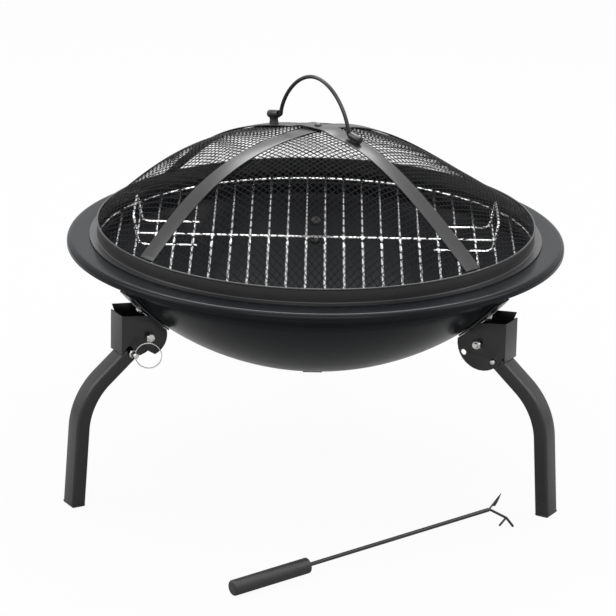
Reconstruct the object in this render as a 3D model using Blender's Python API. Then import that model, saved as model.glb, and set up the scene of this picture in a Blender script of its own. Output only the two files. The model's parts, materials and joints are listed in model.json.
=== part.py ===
# Folding steel fire bowl with a lift-off cooking grate, a domed mesh lid and a poker.
# All sizes below are in millimetres and are turned into metres when a mesh is made.
import bpy
import bmesh
import math
from mathutils import Matrix, Vector
from mathutils.geometry import delaunay_2d_cdt

MM = 0.001
GAP = 0.3
SEGMENTS = 56
PAN_ROWS = 7

# Bowl, pressed from sheet: a spherical pan, a short collar with a ledge, and a flat rim rolled down at its edge
BOWL_R = 312.0
BOWL_SHEET = 1.2
COLLAR_R = 243.6
COLLAR_H = 16.45
COLLAR_TUCK = 1.5
LEDGE_W = 7.6
LEDGE_Z = 259.6
CREST_H = 11.3
RIM_W = 28.8
RIM_ROLL = 5.4
RIM_DROP = 8.1

# Cooking grate, welded from wire
GRATE_PLAY = 1.8
RING_WIRE = 2.4
BAR_WIRE = 2.0
BAR_COUNT = 22
BAR_MARGIN = 24.4
WELD = 0.6
HANDLE_IN = 132.0
HANDLE_OUT = 203.0
HANDLE_HALF = 43.0
HANDLE_RISE = 32.0

# Lid: band, pressed mesh dome, two straps and a folding bail
BAND_PLAY = 5.0
BAND_SHEET = 1.4
BAND_H = 18.0
BAND_FOOT_W = 8.8
DOME_INSET = 2.2
DOME_DROP = 1.8
DOME_H = 106.3
DOME_POWER = 2.107
DOME_EASE = 1.06
DOME_LEAN = 6.6
DOME_LEAN_AZ = 41.0
DOME_WAVE = 3.4
MESH_T = 1.2
CELL_W = 54.0
CELL_H = 32.0
STRAND = 4.8
MESH_MARGIN = 7.0
LEAST_CELL = 150.0
STRAP_W = 22.0
STRAP_T = 1.6
SEAT = GAP + 0.6
STRAP_AZ = (134.7, 41.1)
RIVET_R = 2.0
BARREL_R = 4.4
BARREL_STAND = 3.8
BARREL_IN = 57.0
BARREL_LEN = 16.0
BARREL_DIP = 11.5
BORE_DEPTH = 8.0
BAIL_SHIFT = 6.0
BAIL_WIRE = 2.2
BAIL_H = 55.0

# Folding legs: channel bracket on the bowl, curved box tube, lock pin with a pull ring
LEG_AZ = (210.0, 330.0, 90.0)
LEG_NAMES = ("left", "right", "rear")
TALL_SIDE = (-1, 1, 1)
PIVOT_OUT = 20.56
PIVOT_ANGLE = -49.27
LEG_TILT = 39.6
FOOT_TILT = 86.2
FOOT_OUT = 86.0
BEND_R = 78.0
TUBE_W = 23.4
TUBE_D = 16.4
TUBE_WALL = 1.5
TUBE_END = 8.0
FOOT_PAD = 3.0
PLATE_T = 2.0
PLATE_HALF = 17.0
PLATE_SPAN = (-40.6, -51.6)
BOLT_AT = (-45.1, -49.8)
BRACKET_T = 1.6
WEB_OUT = 34.2
WEB_RISE = 29.5
LOBE_R = 22.0
DISC_R = 29.2
DISC_OFF = (3.8, -0.8)
DISC_INSET = 3.3
LOBE_END = 252.0
THROAT = 6.5
FAR_STEP = 6.5
LOCK_AT = 26.0
SPARE_HOLE = (-17.4, -12.6)
PIN_R = 3.1
PIVOT_BOLT_R = 3.0
EYE_AT = 4.0
PULL_RING_R = 14.6
PULL_WIRE = 0.95
RING_TURN = 30.0

# Poker on the ground in front of the legs, its fork on edge; fork points are along and above the rod
POKER_START = (-80.6, -400.8)
POKER_AZ = 34.1
POKER_LEN = 334.0
GRIP_LEN = 96.0
GRIP_SOCKET = 30.0
GRIP_R = 8.6
ROD_R = 2.2
BRANCH_R = 1.4
TINE_R = 1.2
BLADE_T = 2.0
SPEAR_TIP = (17.0, 15.0)
SPEAR_BACK = (3.6, 3.9)
BARB = (7.0, 1.2)
BLADE_BELLY = (14.2, 7.0)
BRANCH = (23.5, -16.4)
TINE_FRONT = (32.6, -29.3)
TINE_BACK = (13.4, -23.3)

# Sizes that follow from the ones above
PAN_END = -math.degrees(math.acos((COLLAR_R - COLLAR_TUCK) / (BOWL_R - BOWL_SHEET / 2)))
FACET = (BOWL_R * (1 - math.cos(math.radians((PAN_END + 90) / PAN_ROWS / 2)))
         + COLLAR_R * (1 - math.cos(math.pi / SEGMENTS)))
BOWL_TOP_Z = LEDGE_Z - COLLAR_H + math.sqrt((BOWL_R - BOWL_SHEET / 2) ** 2 - (COLLAR_R - COLLAR_TUCK) ** 2)
MOUTH_R = COLLAR_R + LEDGE_W
CREST_Z = LEDGE_Z + CREST_H
RIM_R = MOUTH_R + RIM_W
GRATE_R = MOUTH_R - GRATE_PLAY - RING_WIRE
BAR_PITCH = 2 * (GRATE_R - BAR_MARGIN) / (BAR_COUNT - 1)
BAND_R = MOUTH_R - BAND_PLAY
BAND_FOOT_R = BAND_R + BAND_FOOT_W
DOME_R = BAND_R - DOME_INSET
MESH_EDGE = DOME_R - MESH_MARGIN
LEDGE_TOP = LEDGE_Z + BOWL_SHEET / 2
RING_Z = LEDGE_TOP + GAP + RING_WIRE
BAR_Z = RING_Z + RING_WIRE + BAR_WIRE - WELD
CROSS_Z = BAR_Z + 2 * BAR_WIRE - WELD
HANDLE_Z = BAR_Z + 2 * BAR_WIRE + GAP
BAND_FOOT_Z = CREST_Z + BOWL_SHEET / 2 + GAP
BAND_TOP_Z = BAND_FOOT_Z + BAND_H
DOME_Z = BAND_TOP_Z - DOME_DROP
CHANNEL_IN = TUBE_W / 2 + 0.4
CHANNEL_OUT = CHANNEL_IN + BRACKET_T
LEAN_SLOPE = math.hypot(DOME_LEAN * math.cos(math.radians(DOME_LEAN_AZ)) - 2 * DOME_WAVE,
                        DOME_LEAN * math.sin(math.radians(DOME_LEAN_AZ))) * math.pi / DOME_R
STEP_OVER = STRAP_T + GAP + 1.5 * LEAN_SLOPE * STRAP_W / 2
PLATE_IN = BOWL_R + GAP
PLATE_OUT = PLATE_IN + PLATE_T
PIVOT = ((BOWL_R + PIVOT_OUT) * math.cos(math.radians(PIVOT_ANGLE)),
         BOWL_TOP_Z + (BOWL_R + PIVOT_OUT) * math.sin(math.radians(PIVOT_ANGLE)))
WEB_R = PIVOT[0] + WEB_OUT
WEB_TOP = PIVOT[1] + WEB_RISE
FOOT_AT = PIVOT[0] + FOOT_OUT


def clear_scene():
    for ob in list(bpy.data.objects):
        bpy.data.objects.remove(ob, do_unlink=True)


def material(name, rgb, rough, metal):
    mat = bpy.data.materials.new(name)
    mat.use_nodes = True
    shader = mat.node_tree.nodes["Principled BSDF"]
    shader.inputs["Base Color"].default_value = (*rgb, 1.0)
    shader.inputs["Roughness"].default_value = rough
    shader.inputs["Metallic"].default_value = metal
    mat.diffuse_color = (*rgb, 1.0)
    return mat


def finish(name, bm, mat, origin=(0, 0, 0), az=0.0, smooth=True):
    """Turn a bmesh in millimetres into an object whose origin sits at origin, turned by az."""
    bmesh.ops.remove_doubles(bm, verts=bm.verts, dist=1e-4)
    bmesh.ops.recalc_face_normals(bm, faces=bm.faces)
    turn = Matrix.Rotation(math.radians(az), 4, "Z")
    bm.transform(Matrix.Scale(MM, 4) @ Matrix.Translation(-Vector(origin)))
    mesh = bpy.data.meshes.new(name)
    bm.to_mesh(mesh)
    bm.free()
    mesh.materials.clear()
    mesh.materials.append(mat)
    for poly in mesh.polygons:
        poly.use_smooth = smooth
    ob = bpy.data.objects.new(name, mesh)
    ob.rotation_euler = (0, 0, math.radians(az))
    ob.location = turn @ Vector(origin) * MM
    bpy.context.scene.collection.objects.link(ob)
    return ob


def revolved(profile, segments=SEGMENTS, axis="Z", closed=True):
    """Spin a profile of (radius, height) pairs about an axis; closed joins its last point to its first."""
    bm = bmesh.new()
    verts = [bm.verts.new((r, 0, z)) for r, z in profile]
    pairs = list(zip(verts, verts[1:])) + ([(verts[-1], verts[0])] if closed else [])
    edges = [bm.edges.new(p) for p in pairs]
    bmesh.ops.spin(bm, geom=verts + edges, cent=(0, 0, 0), axis=(0, 0, 1), dvec=(0, 0, 0),
                   angle=2 * math.pi, steps=segments, use_duplicate=False)
    bmesh.ops.remove_doubles(bm, verts=bm.verts, dist=2e-3)
    if axis == "Y":
        bm.transform(Matrix.Rotation(math.radians(-90), 4, "X"))
    bmesh.ops.recalc_face_normals(bm, faces=bm.faces)
    return bm


def sheet(path, thick):
    """Offset an open path of (radius, height) by half a sheet to each side, as one closed outline."""
    sides = ([], [])
    for i, (r, z) in enumerate(path):
        a, b = path[max(i - 1, 0)], path[min(i + 1, len(path) - 1)]
        d = [Vector(q) - Vector(p) for p, q in ((a, (r, z)), ((r, z), b)) if p != q]
        n = [Vector((-v.y, v.x)).normalized() for v in d]
        mid = sum(n, Vector((0, 0))).normalized()
        reach = thick / 2 / max(mid.dot(n[0]), 0.5)
        for side, sign in zip(sides, (1, -1)):
            side.append((max(r + sign * mid.x * reach, 0.0), z + sign * mid.y * reach))
    for side in sides:
        if path[0][0] == 0.0:
            side[0] = (0.0, side[0][1])
    return sides[0] + sides[1][::-1]


def arc(cx, cy, radius, start, stop, steps):
    """Points of an arc, its angles in degrees."""
    out = []
    for i in range(steps + 1):
        a = math.radians(start + (stop - start) * i / steps)
        out.append((cx + radius * math.cos(a), cy + radius * math.sin(a)))
    return out


def slab(outline, low, high):
    """A plate whose outline lies in the radius-height plane and whose thickness runs along Y."""
    bm = bmesh.new()
    face = bm.faces.new([bm.verts.new((x, low, z)) for x, z in outline])
    out = bmesh.ops.extrude_face_region(bm, geom=[face])
    moved = [g for g in out["geom"] if isinstance(g, bmesh.types.BMVert)]
    bmesh.ops.translate(bm, verts=moved, vec=(0, high - low, 0))
    bmesh.ops.recalc_face_normals(bm, faces=bm.faces)
    return bm


def box(x0, x1, y0, y1, z0, z1):
    return slab([(x0, z0), (x1, z0), (x1, z1), (x0, z1)], y0, y1)


def rod(radius, p, q, sides=16):
    """A round bar from p to q."""
    p, q = Vector(p), Vector(q)
    bm = bmesh.new()
    bmesh.ops.create_cone(bm, cap_ends=True, segments=sides, radius1=radius, radius2=radius,
                          depth=(q - p).length)
    turn = (q - p).to_track_quat("Z", "Y").to_matrix().to_4x4()
    bm.transform(Matrix.Translation((p + q) / 2) @ turn)
    return bm


def hexagon(flats, p, q):
    """A hexagonal bar from p to q, measured across its flats."""
    return rod(flats / math.sqrt(3), p, q, 6)


def wire(points, radius, sides=8, cyclic=False):
    """A round wire swept along points, its rings kept square to the path without twisting."""
    pts = [Vector(p) for p in points]
    count = len(pts)
    bm = bmesh.new()
    rings = []
    up = None
    for i, p in enumerate(pts):
        a = pts[(i - 1) % count] if cyclic else pts[max(i - 1, 0)]
        b = pts[(i + 1) % count] if cyclic else pts[min(i + 1, count - 1)]
        t = (b - a).normalized()
        if up is None:
            up = t.orthogonal().normalized()
            if cyclic:
                flat = (pts[count // 4] - pts[0]).cross(pts[count // 2] - pts[0])
                up = flat.normalized()
        up = (up - t * up.dot(t)).normalized()
        side = t.cross(up)
        ring = []
        for k in range(sides):
            ang = 2 * math.pi * (k + 0.5) / sides
            ring.append(bm.verts.new(p + radius * (math.cos(ang) * up + math.sin(ang) * side)))
        rings.append(ring)
    pairs = list(zip(rings, rings[1:])) + ([(rings[-1], rings[0])] if cyclic else [])
    for r0, r1 in pairs:
        for k in range(sides):
            bm.faces.new((r0[k], r0[(k + 1) % sides], r1[(k + 1) % sides], r1[k]))
    if not cyclic:
        bm.faces.new(rings[0][::-1])
        bm.faces.new(rings[-1])
    bmesh.ops.recalc_face_normals(bm, faces=bm.faces)
    return bm


def combine(base, others, how):
    """Boolean one bmesh with several others and give the result back as a bmesh."""
    temps = []
    for bm in [base] + list(others):
        mesh = bpy.data.meshes.new("work")
        bm.to_mesh(mesh)
        bm.free()
        ob = bpy.data.objects.new("work", mesh)
        bpy.context.scene.collection.objects.link(ob)
        temps.append(ob)
    for other in temps[1:]:
        mod = temps[0].modifiers.new("cut", "BOOLEAN")
        mod.operation = how
        mod.solver = "EXACT"
        mod.object = other
        other.hide_render = True
        other.display_type = "WIRE"
    deps = bpy.context.evaluated_depsgraph_get()
    made = bpy.data.meshes.new_from_object(temps[0].evaluated_get(deps))
    out = bmesh.new()
    out.from_mesh(made)
    for ob in temps:
        bpy.data.objects.remove(ob, do_unlink=True)
    bmesh.ops.remove_doubles(out, verts=out.verts, dist=1e-4)
    bmesh.ops.dissolve_degenerate(out, edges=out.edges, dist=1e-4)
    return out


def several(parts):
    """Put bmeshes that don't touch each other into one."""
    out = bmesh.new()
    for bm in parts:
        mesh = bpy.data.meshes.new("work")
        bm.to_mesh(mesh)
        bm.free()
        out.from_mesh(mesh)
        bpy.data.meshes.remove(mesh)
    return out


def on_bowl(angle, radius):
    """Point of the leg's plane at an angle below the bowl's centre, radius from that centre."""
    a = math.radians(angle)
    return radius * math.cos(a), BOWL_TOP_Z + radius * math.sin(a)


def dome_z(x, y):
    """Height of the lid's mesh: a flattened power curve that is pressed slightly to one side."""
    r = math.hypot(x, y)
    rho = min(r / DOME_R, 1.0)
    turn = math.atan2(y, x)
    lean = DOME_LEAN * math.sin(math.pi * rho) * math.cos(turn - math.radians(DOME_LEAN_AZ))
    wave = DOME_WAVE * math.sin(2 * math.pi * rho) * math.cos(turn)
    return DOME_Z + DOME_H * (1 - rho ** DOME_POWER) ** DOME_EASE - lean + wave


# Bowl

def bowl_path():
    mid = BOWL_R - BOWL_SHEET / 2
    pan = [on_bowl(-90 + (PAN_END + 90) * k / PAN_ROWS, mid) for k in range(PAN_ROWS + 1)]
    pan[0] = (0.0, BOWL_TOP_Z - mid)
    collar = [(COLLAR_R, pan[-1][1] + 3.5), (COLLAR_R, LEDGE_Z - 2.2), (COLLAR_R + 2.2, LEDGE_Z)]
    ledge = [(MOUTH_R - 1.5, LEDGE_Z), (MOUTH_R, LEDGE_Z + 1.5), (MOUTH_R, CREST_Z - 2.4)]
    rim = [(MOUTH_R + 2.4, CREST_Z)]
    edge_r = RIM_R - BOWL_SHEET / 2
    for a in (0, 30, 60, 90):
        rim.append((edge_r - RIM_ROLL * (1 - math.sin(math.radians(a))),
                    CREST_Z - RIM_ROLL * (1 - math.cos(math.radians(a)))))
    rim.append((edge_r, CREST_Z - RIM_DROP))
    return pan + collar + ledge + rim


def build_bowl(mat):
    body = revolved(sheet(bowl_path(), BOWL_SHEET), closed=False)
    cutters = []
    for az in LEG_AZ:
        turn = Matrix.Rotation(math.radians(az), 4, "Z")
        for angle in BOLT_AT:
            (x0, z0), (x1, z1) = on_bowl(angle, BOWL_R - 8), on_bowl(angle, BOWL_R + 8)
            hole = rod(PIVOT_BOLT_R + GAP, (x0, 0, z0), (x1, 0, z1), 12)
            hole.transform(turn)
            cutters.append(hole)
    return finish("fire_bowl", combine(body, [several(cutters)], "DIFFERENCE"), mat)


# Cooking grate

def circle(radius, z, count=SEGMENTS):
    return [(radius * math.cos(2 * math.pi * k / count), radius * math.sin(2 * math.pi * k / count), z)
            for k in range(count)]


def build_grate(mat):
    bars = []
    for k in range(BAR_COUNT):
        x = (k - (BAR_COUNT - 1) / 2) * BAR_PITCH
        half = math.sqrt(GRATE_R ** 2 - x ** 2) + RING_WIRE * 0.3
        bars.append(wire([(x, -half, BAR_Z), (x, half, BAR_Z)], BAR_WIRE, 6))
    cross_half = (BAR_COUNT / 2 - 1.5) * BAR_PITCH + BAR_WIRE + 1.0
    cross = wire([(-cross_half, 0, CROSS_Z), (cross_half, 0, CROSS_Z)], BAR_WIRE, 6)
    ring = wire(circle(GRATE_R, RING_Z), RING_WIRE, cyclic=True)
    finish("grate", combine(ring, [several(bars), cross], "UNION"), mat, (0, 0, RING_Z))


def corner(points, radius, steps=3):
    """Round the inner corners of a path of straight runs."""
    pts = [Vector(p) for p in points]
    out = [pts[0]]
    for a, b, c in zip(pts, pts[1:], pts[2:]):
        d0, d1 = (b - a).normalized(), (c - b).normalized()
        half = d0.angle(d1) / 2
        t = radius * math.tan(half)
        centre = b + (d1 - d0).normalized() * radius / math.cos(half)
        start = (b - d0 * t - centre).normalized()
        stop = (b + d1 * t - centre).normalized()
        for k in range(steps + 1):
            out.append(centre + start.slerp(stop, k / steps) * radius)
    out.append(pts[-1])
    return out


def build_grate_handle(name, side, mat):
    top = HANDLE_Z + HANDLE_RISE
    knee = HANDLE_OUT - 6.0
    path = [(HANDLE_IN, HANDLE_HALF, HANDLE_Z), (knee, HANDLE_HALF, HANDLE_Z),
            (HANDLE_OUT, HANDLE_HALF, top), (HANDLE_OUT, -HANDLE_HALF, top),
            (knee, -HANDLE_HALF, HANDLE_Z), (HANDLE_IN, -HANDLE_HALF, HANDLE_Z)]
    pts = [(side * p.x, p.y, p.z) for p in corner(path, 9.0)]
    finish(name, wire(pts, BAR_WIRE), mat, (side * knee, 0, HANDLE_Z))


# Lid

def build_lid_ring(mat):
    inner = BAND_R - BAND_SHEET
    outline = [(inner, BAND_FOOT_Z), (BAND_FOOT_R, BAND_FOOT_Z),
               (BAND_FOOT_R, BAND_FOOT_Z + BAND_SHEET), (BAND_R, BAND_FOOT_Z + BAND_SHEET),
               (BAND_R, BAND_TOP_Z - 2.4), (BAND_R + 0.8, BAND_TOP_Z - 1.2),
               (BAND_R - 0.2, BAND_TOP_Z), (inner, BAND_TOP_Z - 0.4)]
    return finish("lid_ring", revolved(outline), mat, (0, 0, BAND_FOOT_Z))


def clipped(tips):
    """The part of a diamond that lies inside the edge of the open mesh."""
    out = []
    for (ax, ay), (bx, by) in zip(tips, tips[1:] + tips[:1]):
        a_in = math.hypot(ax, ay) < MESH_EDGE
        if a_in:
            out.append((ax, ay))
        if a_in != (math.hypot(bx, by) < MESH_EDGE):
            dx, dy = bx - ax, by - ay
            half, square = ax * dx + ay * dy, dx * dx + dy * dy
            root = math.sqrt(half * half - square * (ax * ax + ay * ay - MESH_EDGE ** 2))
            f = (-half + root) / square if a_in else (-half - root) / square
            out.append((ax + f * dx, ay + f * dy))
    return out


def area(loop):
    return abs(sum(a[0] * b[1] - b[0] * a[1] for a, b in zip(loop, loop[1:] + loop[:1]))) / 2


def mesh_holes():
    """The diamonds of one flat expanded sheet, cut off at the lid's edge."""
    reach_x, reach_y = CELL_W / 2 - STRAND, CELL_H / 2 - 0.65 * STRAND
    out = []
    rows = int(2 * DOME_R / CELL_H) + 1
    columns = int(DOME_R / CELL_W) + 2
    for j in range(-rows, rows + 1):
        for i in range(-columns, columns + 1):
            x, y = (i + 0.5 * (j % 2)) * CELL_W, j * CELL_H / 2
            tips = clipped([(x + reach_x, y), (x, y + reach_y), (x - reach_x, y), (x, y - reach_y)])
            if len(tips) > 2 and area(tips) > LEAST_CELL and math.hypot(x, y) > CELL_W / 4:
                out.append(tips)
    return out


def build_lid_mesh(mat):
    """Triangulate the flat sheet between its diamonds, raise it to the dome and give it thickness."""
    points, loops = [], []
    rim = [(x, y) for x, y, _ in circle(DOME_R, 0)]
    eye = [(x, y) for x, y, _ in circle(RIVET_R + GAP, 0, 8)]
    for loop in [rim] + mesh_holes() + [eye]:
        loops.append(list(range(len(points), len(points) + len(loop))))
        points += [Vector(p) for p in loop]
    edges = [(a, b) for loop in loops for a, b in zip(loop, loop[1:] + loop[:1])]
    verts, _, faces, _, _, _ = delaunay_2d_cdt(points, edges, [], 1, 1e-4)
    owner = {k: n for n, loop in enumerate(loops) for k in loop}
    kept = [f for f in faces if len({owner[k] for k in f}) > 1 or owner[f[0]] == 0]
    bm = bmesh.new()
    top = [bm.verts.new((v.x, v.y, dome_z(v.x, v.y))) for v in verts]
    low = [bm.verts.new((v.x, v.y, dome_z(v.x, v.y) - MESH_T)) for v in verts]
    for f in kept:
        bm.faces.new([top[k] for k in f])
        bm.faces.new([low[k] for k in reversed(f)])
    for n, loop in enumerate(loops):
        for a, b in zip(loop, loop[1:] + loop[:1]):
            bm.faces.new((top[a], top[b], low[b], low[a]))
    return finish("lid_mesh", bm, mat, (0, 0, DOME_Z), smooth=False)


def strap_lift(u, over):
    """Height of a strap's underside above the mesh; the upper strap steps over the lower one."""
    if not over:
        return SEAT
    t = min(max((abs(u) - 15.0) / 22.0, 0.0), 1.0)
    return SEAT + STEP_OVER * (1 - t * t * (3 - 2 * t))


def strap_side(u, s, az):
    """Height of the mesh under one edge of a strap, so that the strap tilts with the mesh."""
    ca, sa = math.cos(math.radians(az)), math.sin(math.radians(az))
    return dome_z(u * ca - s * STRAP_W / 2 * sa, u * sa + s * STRAP_W / 2 * ca)


def build_strap(name, az, over, mat):
    reach = math.sqrt(DOME_R ** 2 - (STRAP_W / 2) ** 2) - 0.6
    stops = [reach * f for f in (0.062, 0.11, 0.155, 0.2, 0.26, 0.32, 0.4, 0.5, 0.61, 0.72, 0.83, 0.92, 0.97, 1.0)]
    us = [-u for u in reversed(stops)] + [0.0] + stops
    bm = bmesh.new()
    rows = []
    for u in us:
        lift = strap_lift(u, over)
        rows.append([bm.verts.new((u, s * STRAP_W / 2, strap_side(u, s, az) + lift + h)) for s, h in
                     ((-1, 0), (1, 0), (1, STRAP_T), (-1, STRAP_T))])
    for a, b in zip(rows, rows[1:]):
        for k in range(4):
            bm.faces.new((a[k], a[(k + 1) % 4], b[(k + 1) % 4], b[k]))
    bm.faces.new(rows[0][::-1])
    bm.faces.new(rows[-1])
    bmesh.ops.recalc_face_normals(bm, faces=bm.faces)
    top = dome_z(0, 0)
    hole = rod(RIVET_R + GAP, (0, 0, top - 5), (0, 0, top + 9), 12)
    return finish(name, combine(bm, [hole], "DIFFERENCE"), mat, (0, 0, top), az, smooth=False)


def build_apex_rivet(mat):
    top = dome_z(0, 0)
    head = 2.2 * RIVET_R
    slope = max(abs(top - dome_z(x, y)) for x, y, _ in circle(head, 0))
    under = top - MESH_T - GAP - slope
    over = top + SEAT + STEP_OVER + STRAP_T + GAP + slope
    outline = [(0, under - 1.4), (0.8 * head, under - 1.2), (head, under), (RIVET_R, under), (RIVET_R, over),
               (head, over), (0.8 * head, over + 1.2), (0.4 * head, over + 1.9), (0, over + 2.0)]
    return finish("apex_rivet", revolved(outline, 12, closed=False), mat, (0, 0, top))


def strap_top(u, w=0.0):
    """Height of the upper strap's face, at a distance along it from the crown and w off its middle."""
    low, high = (strap_side(u, s, STRAP_AZ[0]) for s in (-1, 1))
    return (low + high) / 2 + (high - low) * w / STRAP_W + strap_lift(u, True) + STRAP_T


def bail_axis_z():
    """The bail turns about one level line; each barrel dips away from it, so the line crosses the bores' middles."""
    middle = BARREL_IN + BARREL_LEN / 2
    seat = (strap_top(BAIL_SHIFT + middle) + strap_top(BAIL_SHIFT - middle)) / 2
    return seat + BARREL_STAND + BARREL_R + (BARREL_LEN - BORE_DEPTH) / 2 * math.tan(math.radians(BARREL_DIP))


def build_bail_socket(name, side, mat):
    """A dipping barrel with a level bore, on a foot that is cut to the strap's slope."""
    z = bail_axis_z()
    dip = math.tan(math.radians(BARREL_DIP))

    def at(u):
        return BAIL_SHIFT + side * u

    def axis(u):
        return z - (u - BARREL_IN - BORE_DEPTH / 2) * dip
    u0, u1 = BARREL_IN, BARREL_IN + BARREL_LEN * math.cos(math.radians(BARREL_DIP))
    barrel = rod(BARREL_R, (at(u0), 0, axis(u0)), (at(u1), 0, axis(u1)), 16)
    f0, f1 = u0 + 2.6, u1 - 2.6
    lean = max(abs(strap_top(at(f0), 3.6) - strap_top(at(f0))), abs(strap_top(at(f1), 3.6) - strap_top(at(f1))))
    foot = slab([(at(u), h) for u, h in
                 ((f0, strap_top(at(f0)) + GAP + 0.05 + lean), (f1, strap_top(at(f1)) + GAP + 0.05 + lean),
                  (f1, axis(f1) - 2.9), (f0, axis(f0) - 2.9))], -3.6, 3.6)
    bore = rod(BAIL_WIRE + GAP, (at(u0 - 3), 0, z), (at(u0 + BORE_DEPTH), 0, z), 12)
    body = combine(combine(barrel, [foot], "UNION"), [bore], "DIFFERENCE")
    return finish(name, body, mat, (at(u0), 0, z), STRAP_AZ[0])


def build_bail(mat):
    """The arch of the handle with its two feet turned out into the barrels."""
    z = bail_axis_z()
    inside = BARREL_IN - BAIL_WIRE - 1.2
    foot_end = BARREL_IN + BORE_DEPTH - 0.8
    half = []
    for k in range(9):
        a = math.pi / 2 * k / 8
        half.append((inside * math.cos(a) ** 1.03, z + 3.4 + (BAIL_H - 3.4) * math.sin(a) ** 1.34))
    right = [(foot_end, z), (inside + 2.6, z), (inside + 0.7, z + 1.0)] + half
    path = [(BAIL_SHIFT + u, 0, h) for u, h in right] + [(BAIL_SHIFT - u, 0, h) for u, h in reversed(right[:-1])]
    return finish("bail", wire(path, BAIL_WIRE), mat, (BAIL_SHIFT, 0, z), STRAP_AZ[0])


# Legs

def leg_frame():
    """Corner of the tube's centre line, its arc's end points, and unit directions of its two straights."""
    a, b = math.radians(-LEG_TILT), math.radians(-FOOT_TILT)
    d0, d1 = Vector((math.cos(a), math.sin(a))), Vector((math.cos(b), math.sin(b)))
    foot = Vector((FOOT_AT, 0.0))
    p = Vector(PIVOT)
    s = ((foot.x - p.x) * d1.y - (foot.y - p.y) * d1.x) / (d0.x * d1.y - d0.y * d1.x)
    knee = p + d0 * s
    t = BEND_R * math.tan((a - b) / 2)
    return p, d0, d1, knee, t, foot


def tube_path(steps=8):
    p, d0, d1, knee, t, foot = leg_frame()
    start, stop = knee - d0 * t, knee + d1 * t
    centre = start + Vector((d0.y, -d0.x)) * BEND_R
    out = [p - d0 * TUBE_END]
    for k in range(steps + 1):
        a = math.radians(-LEG_TILT - (FOOT_TILT - LEG_TILT) * k / steps) + math.pi / 2
        out.append(centre + Vector((math.cos(a), math.sin(a))) * BEND_R)
    return out + [foot + Vector((d1.x / d1.y, 1.0)) * FOOT_PAD]


def box_tube(width, depth, path, flat_end=True):
    """Sweep a rectangle along a path in the radius-height plane, its last section level."""
    bm = bmesh.new()
    rings = []
    for i, p in enumerate(path):
        a, b = path[max(i - 1, 0)], path[min(i + 1, len(path) - 1)]
        t = (b - a).normalized()
        n = Vector((-t.y, t.x))
        if 0 < i < len(path) - 1:
            t0 = (p - a).normalized()
            n = n / max(n.dot(Vector((-t0.y, t0.x))), 0.5)
        if flat_end and i == len(path) - 1:
            n = Vector((1.0 / abs(t.y), 0.0))
        ring = []
        for sn, sw in ((1, -1), (1, 1), (-1, 1), (-1, -1)):
            q = p + n * (sn * depth / 2)
            ring.append(bm.verts.new((q.x, sw * width / 2, q.y)))
        rings.append(ring)
    for r0, r1 in zip(rings, rings[1:]):
        for k in range(4):
            bm.faces.new((r0[k], r0[(k + 1) % 4], r1[(k + 1) % 4], r1[k]))
    bm.faces.new(rings[0][::-1])
    bm.faces.new(rings[-1])
    bmesh.ops.recalc_face_normals(bm, faces=bm.faces)
    return bm


def lock_point(angle=0.0):
    """Centre of the lock pin, or where it passes in the tube's own frame after the tube has turned."""
    a = math.radians(-LEG_TILT + angle)
    return PIVOT[0] + LOCK_AT * math.cos(a), PIVOT[1] + LOCK_AT * math.sin(a)


def build_tube(name, az, mat):
    path = tube_path()
    outer = box_tube(TUBE_W, TUBE_D, path)
    d0 = (path[0] - path[1]).normalized()
    d1 = Vector((0, -1))
    hollow = [path[0] + d0 * 2] + path[1:-1] + [path[-1] + d1 * 2]
    inner = box_tube(TUBE_W - 2 * TUBE_WALL, TUBE_D - 2 * TUBE_WALL, hollow)
    w = TUBE_W
    bolt = rod(PIVOT_BOLT_R + GAP, (PIVOT[0], -w, PIVOT[1]), (PIVOT[0], w, PIVOT[1]), 16)
    hole = PIN_R + GAP
    slot_out = [(PIVOT[0] + (LOCK_AT + hole) * math.cos(math.radians(a - LEG_TILT)),
                 PIVOT[1] + (LOCK_AT + hole) * math.sin(math.radians(a - LEG_TILT))) for a in (0, 12, 24, 36)]
    slot_in = [(PIVOT[0] + (LOCK_AT - hole) * math.cos(math.radians(a - LEG_TILT)),
                PIVOT[1] + (LOCK_AT - hole) * math.sin(math.radians(a - LEG_TILT))) for a in (36, 24, 12, 0)]
    x, z = lock_point()
    pin_hole = rod(hole, (x, -w, z), (x, w, z), 16)
    slot = slab(slot_out + slot_in, -w, w)
    notch = combine(pin_hole, [slot], "UNION")
    body = combine(outer, [inner, bolt, notch], "DIFFERENCE")
    return finish(name, body, mat, (PIVOT[0], 0, PIVOT[1]), az, smooth=False)


def build_foot(name, az, mat):
    """Plastic foot: a pad as large as the tube's end and a plug inside it."""
    end = tube_path()[-1]
    lean = Vector((end.x - FOOT_AT, FOOT_PAD)).normalized()
    long = TUBE_D / abs(lean.y)
    low = FOOT_AT
    high = FOOT_AT + lean.x / lean.y * (FOOT_PAD - GAP)
    pad = slab([(low - long / 2 + 0.8, 0), (low + long / 2 - 0.8, 0), (high + long / 2, FOOT_PAD - GAP),
                (high - long / 2, FOOT_PAD - GAP)], -TUBE_W / 2, TUBE_W / 2)
    fit = long / 2 - TUBE_WALL / abs(lean.y) - GAP
    rise = 14.0
    shift = lean.x / lean.y
    base_x = FOOT_AT + shift * (FOOT_PAD - 1.0)
    top_x = FOOT_AT + shift * rise
    half = TUBE_W / 2 - TUBE_WALL - GAP
    plug = slab([(base_x - fit, FOOT_PAD - 1.0), (base_x + fit, FOOT_PAD - 1.0),
                 (top_x + fit - 0.4, rise), (top_x - fit + 0.4, rise)], -half, half)
    return finish(name, combine(pad, [plug], "UNION"), mat, (FOOT_AT, 0, 0), az, smooth=False)


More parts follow.
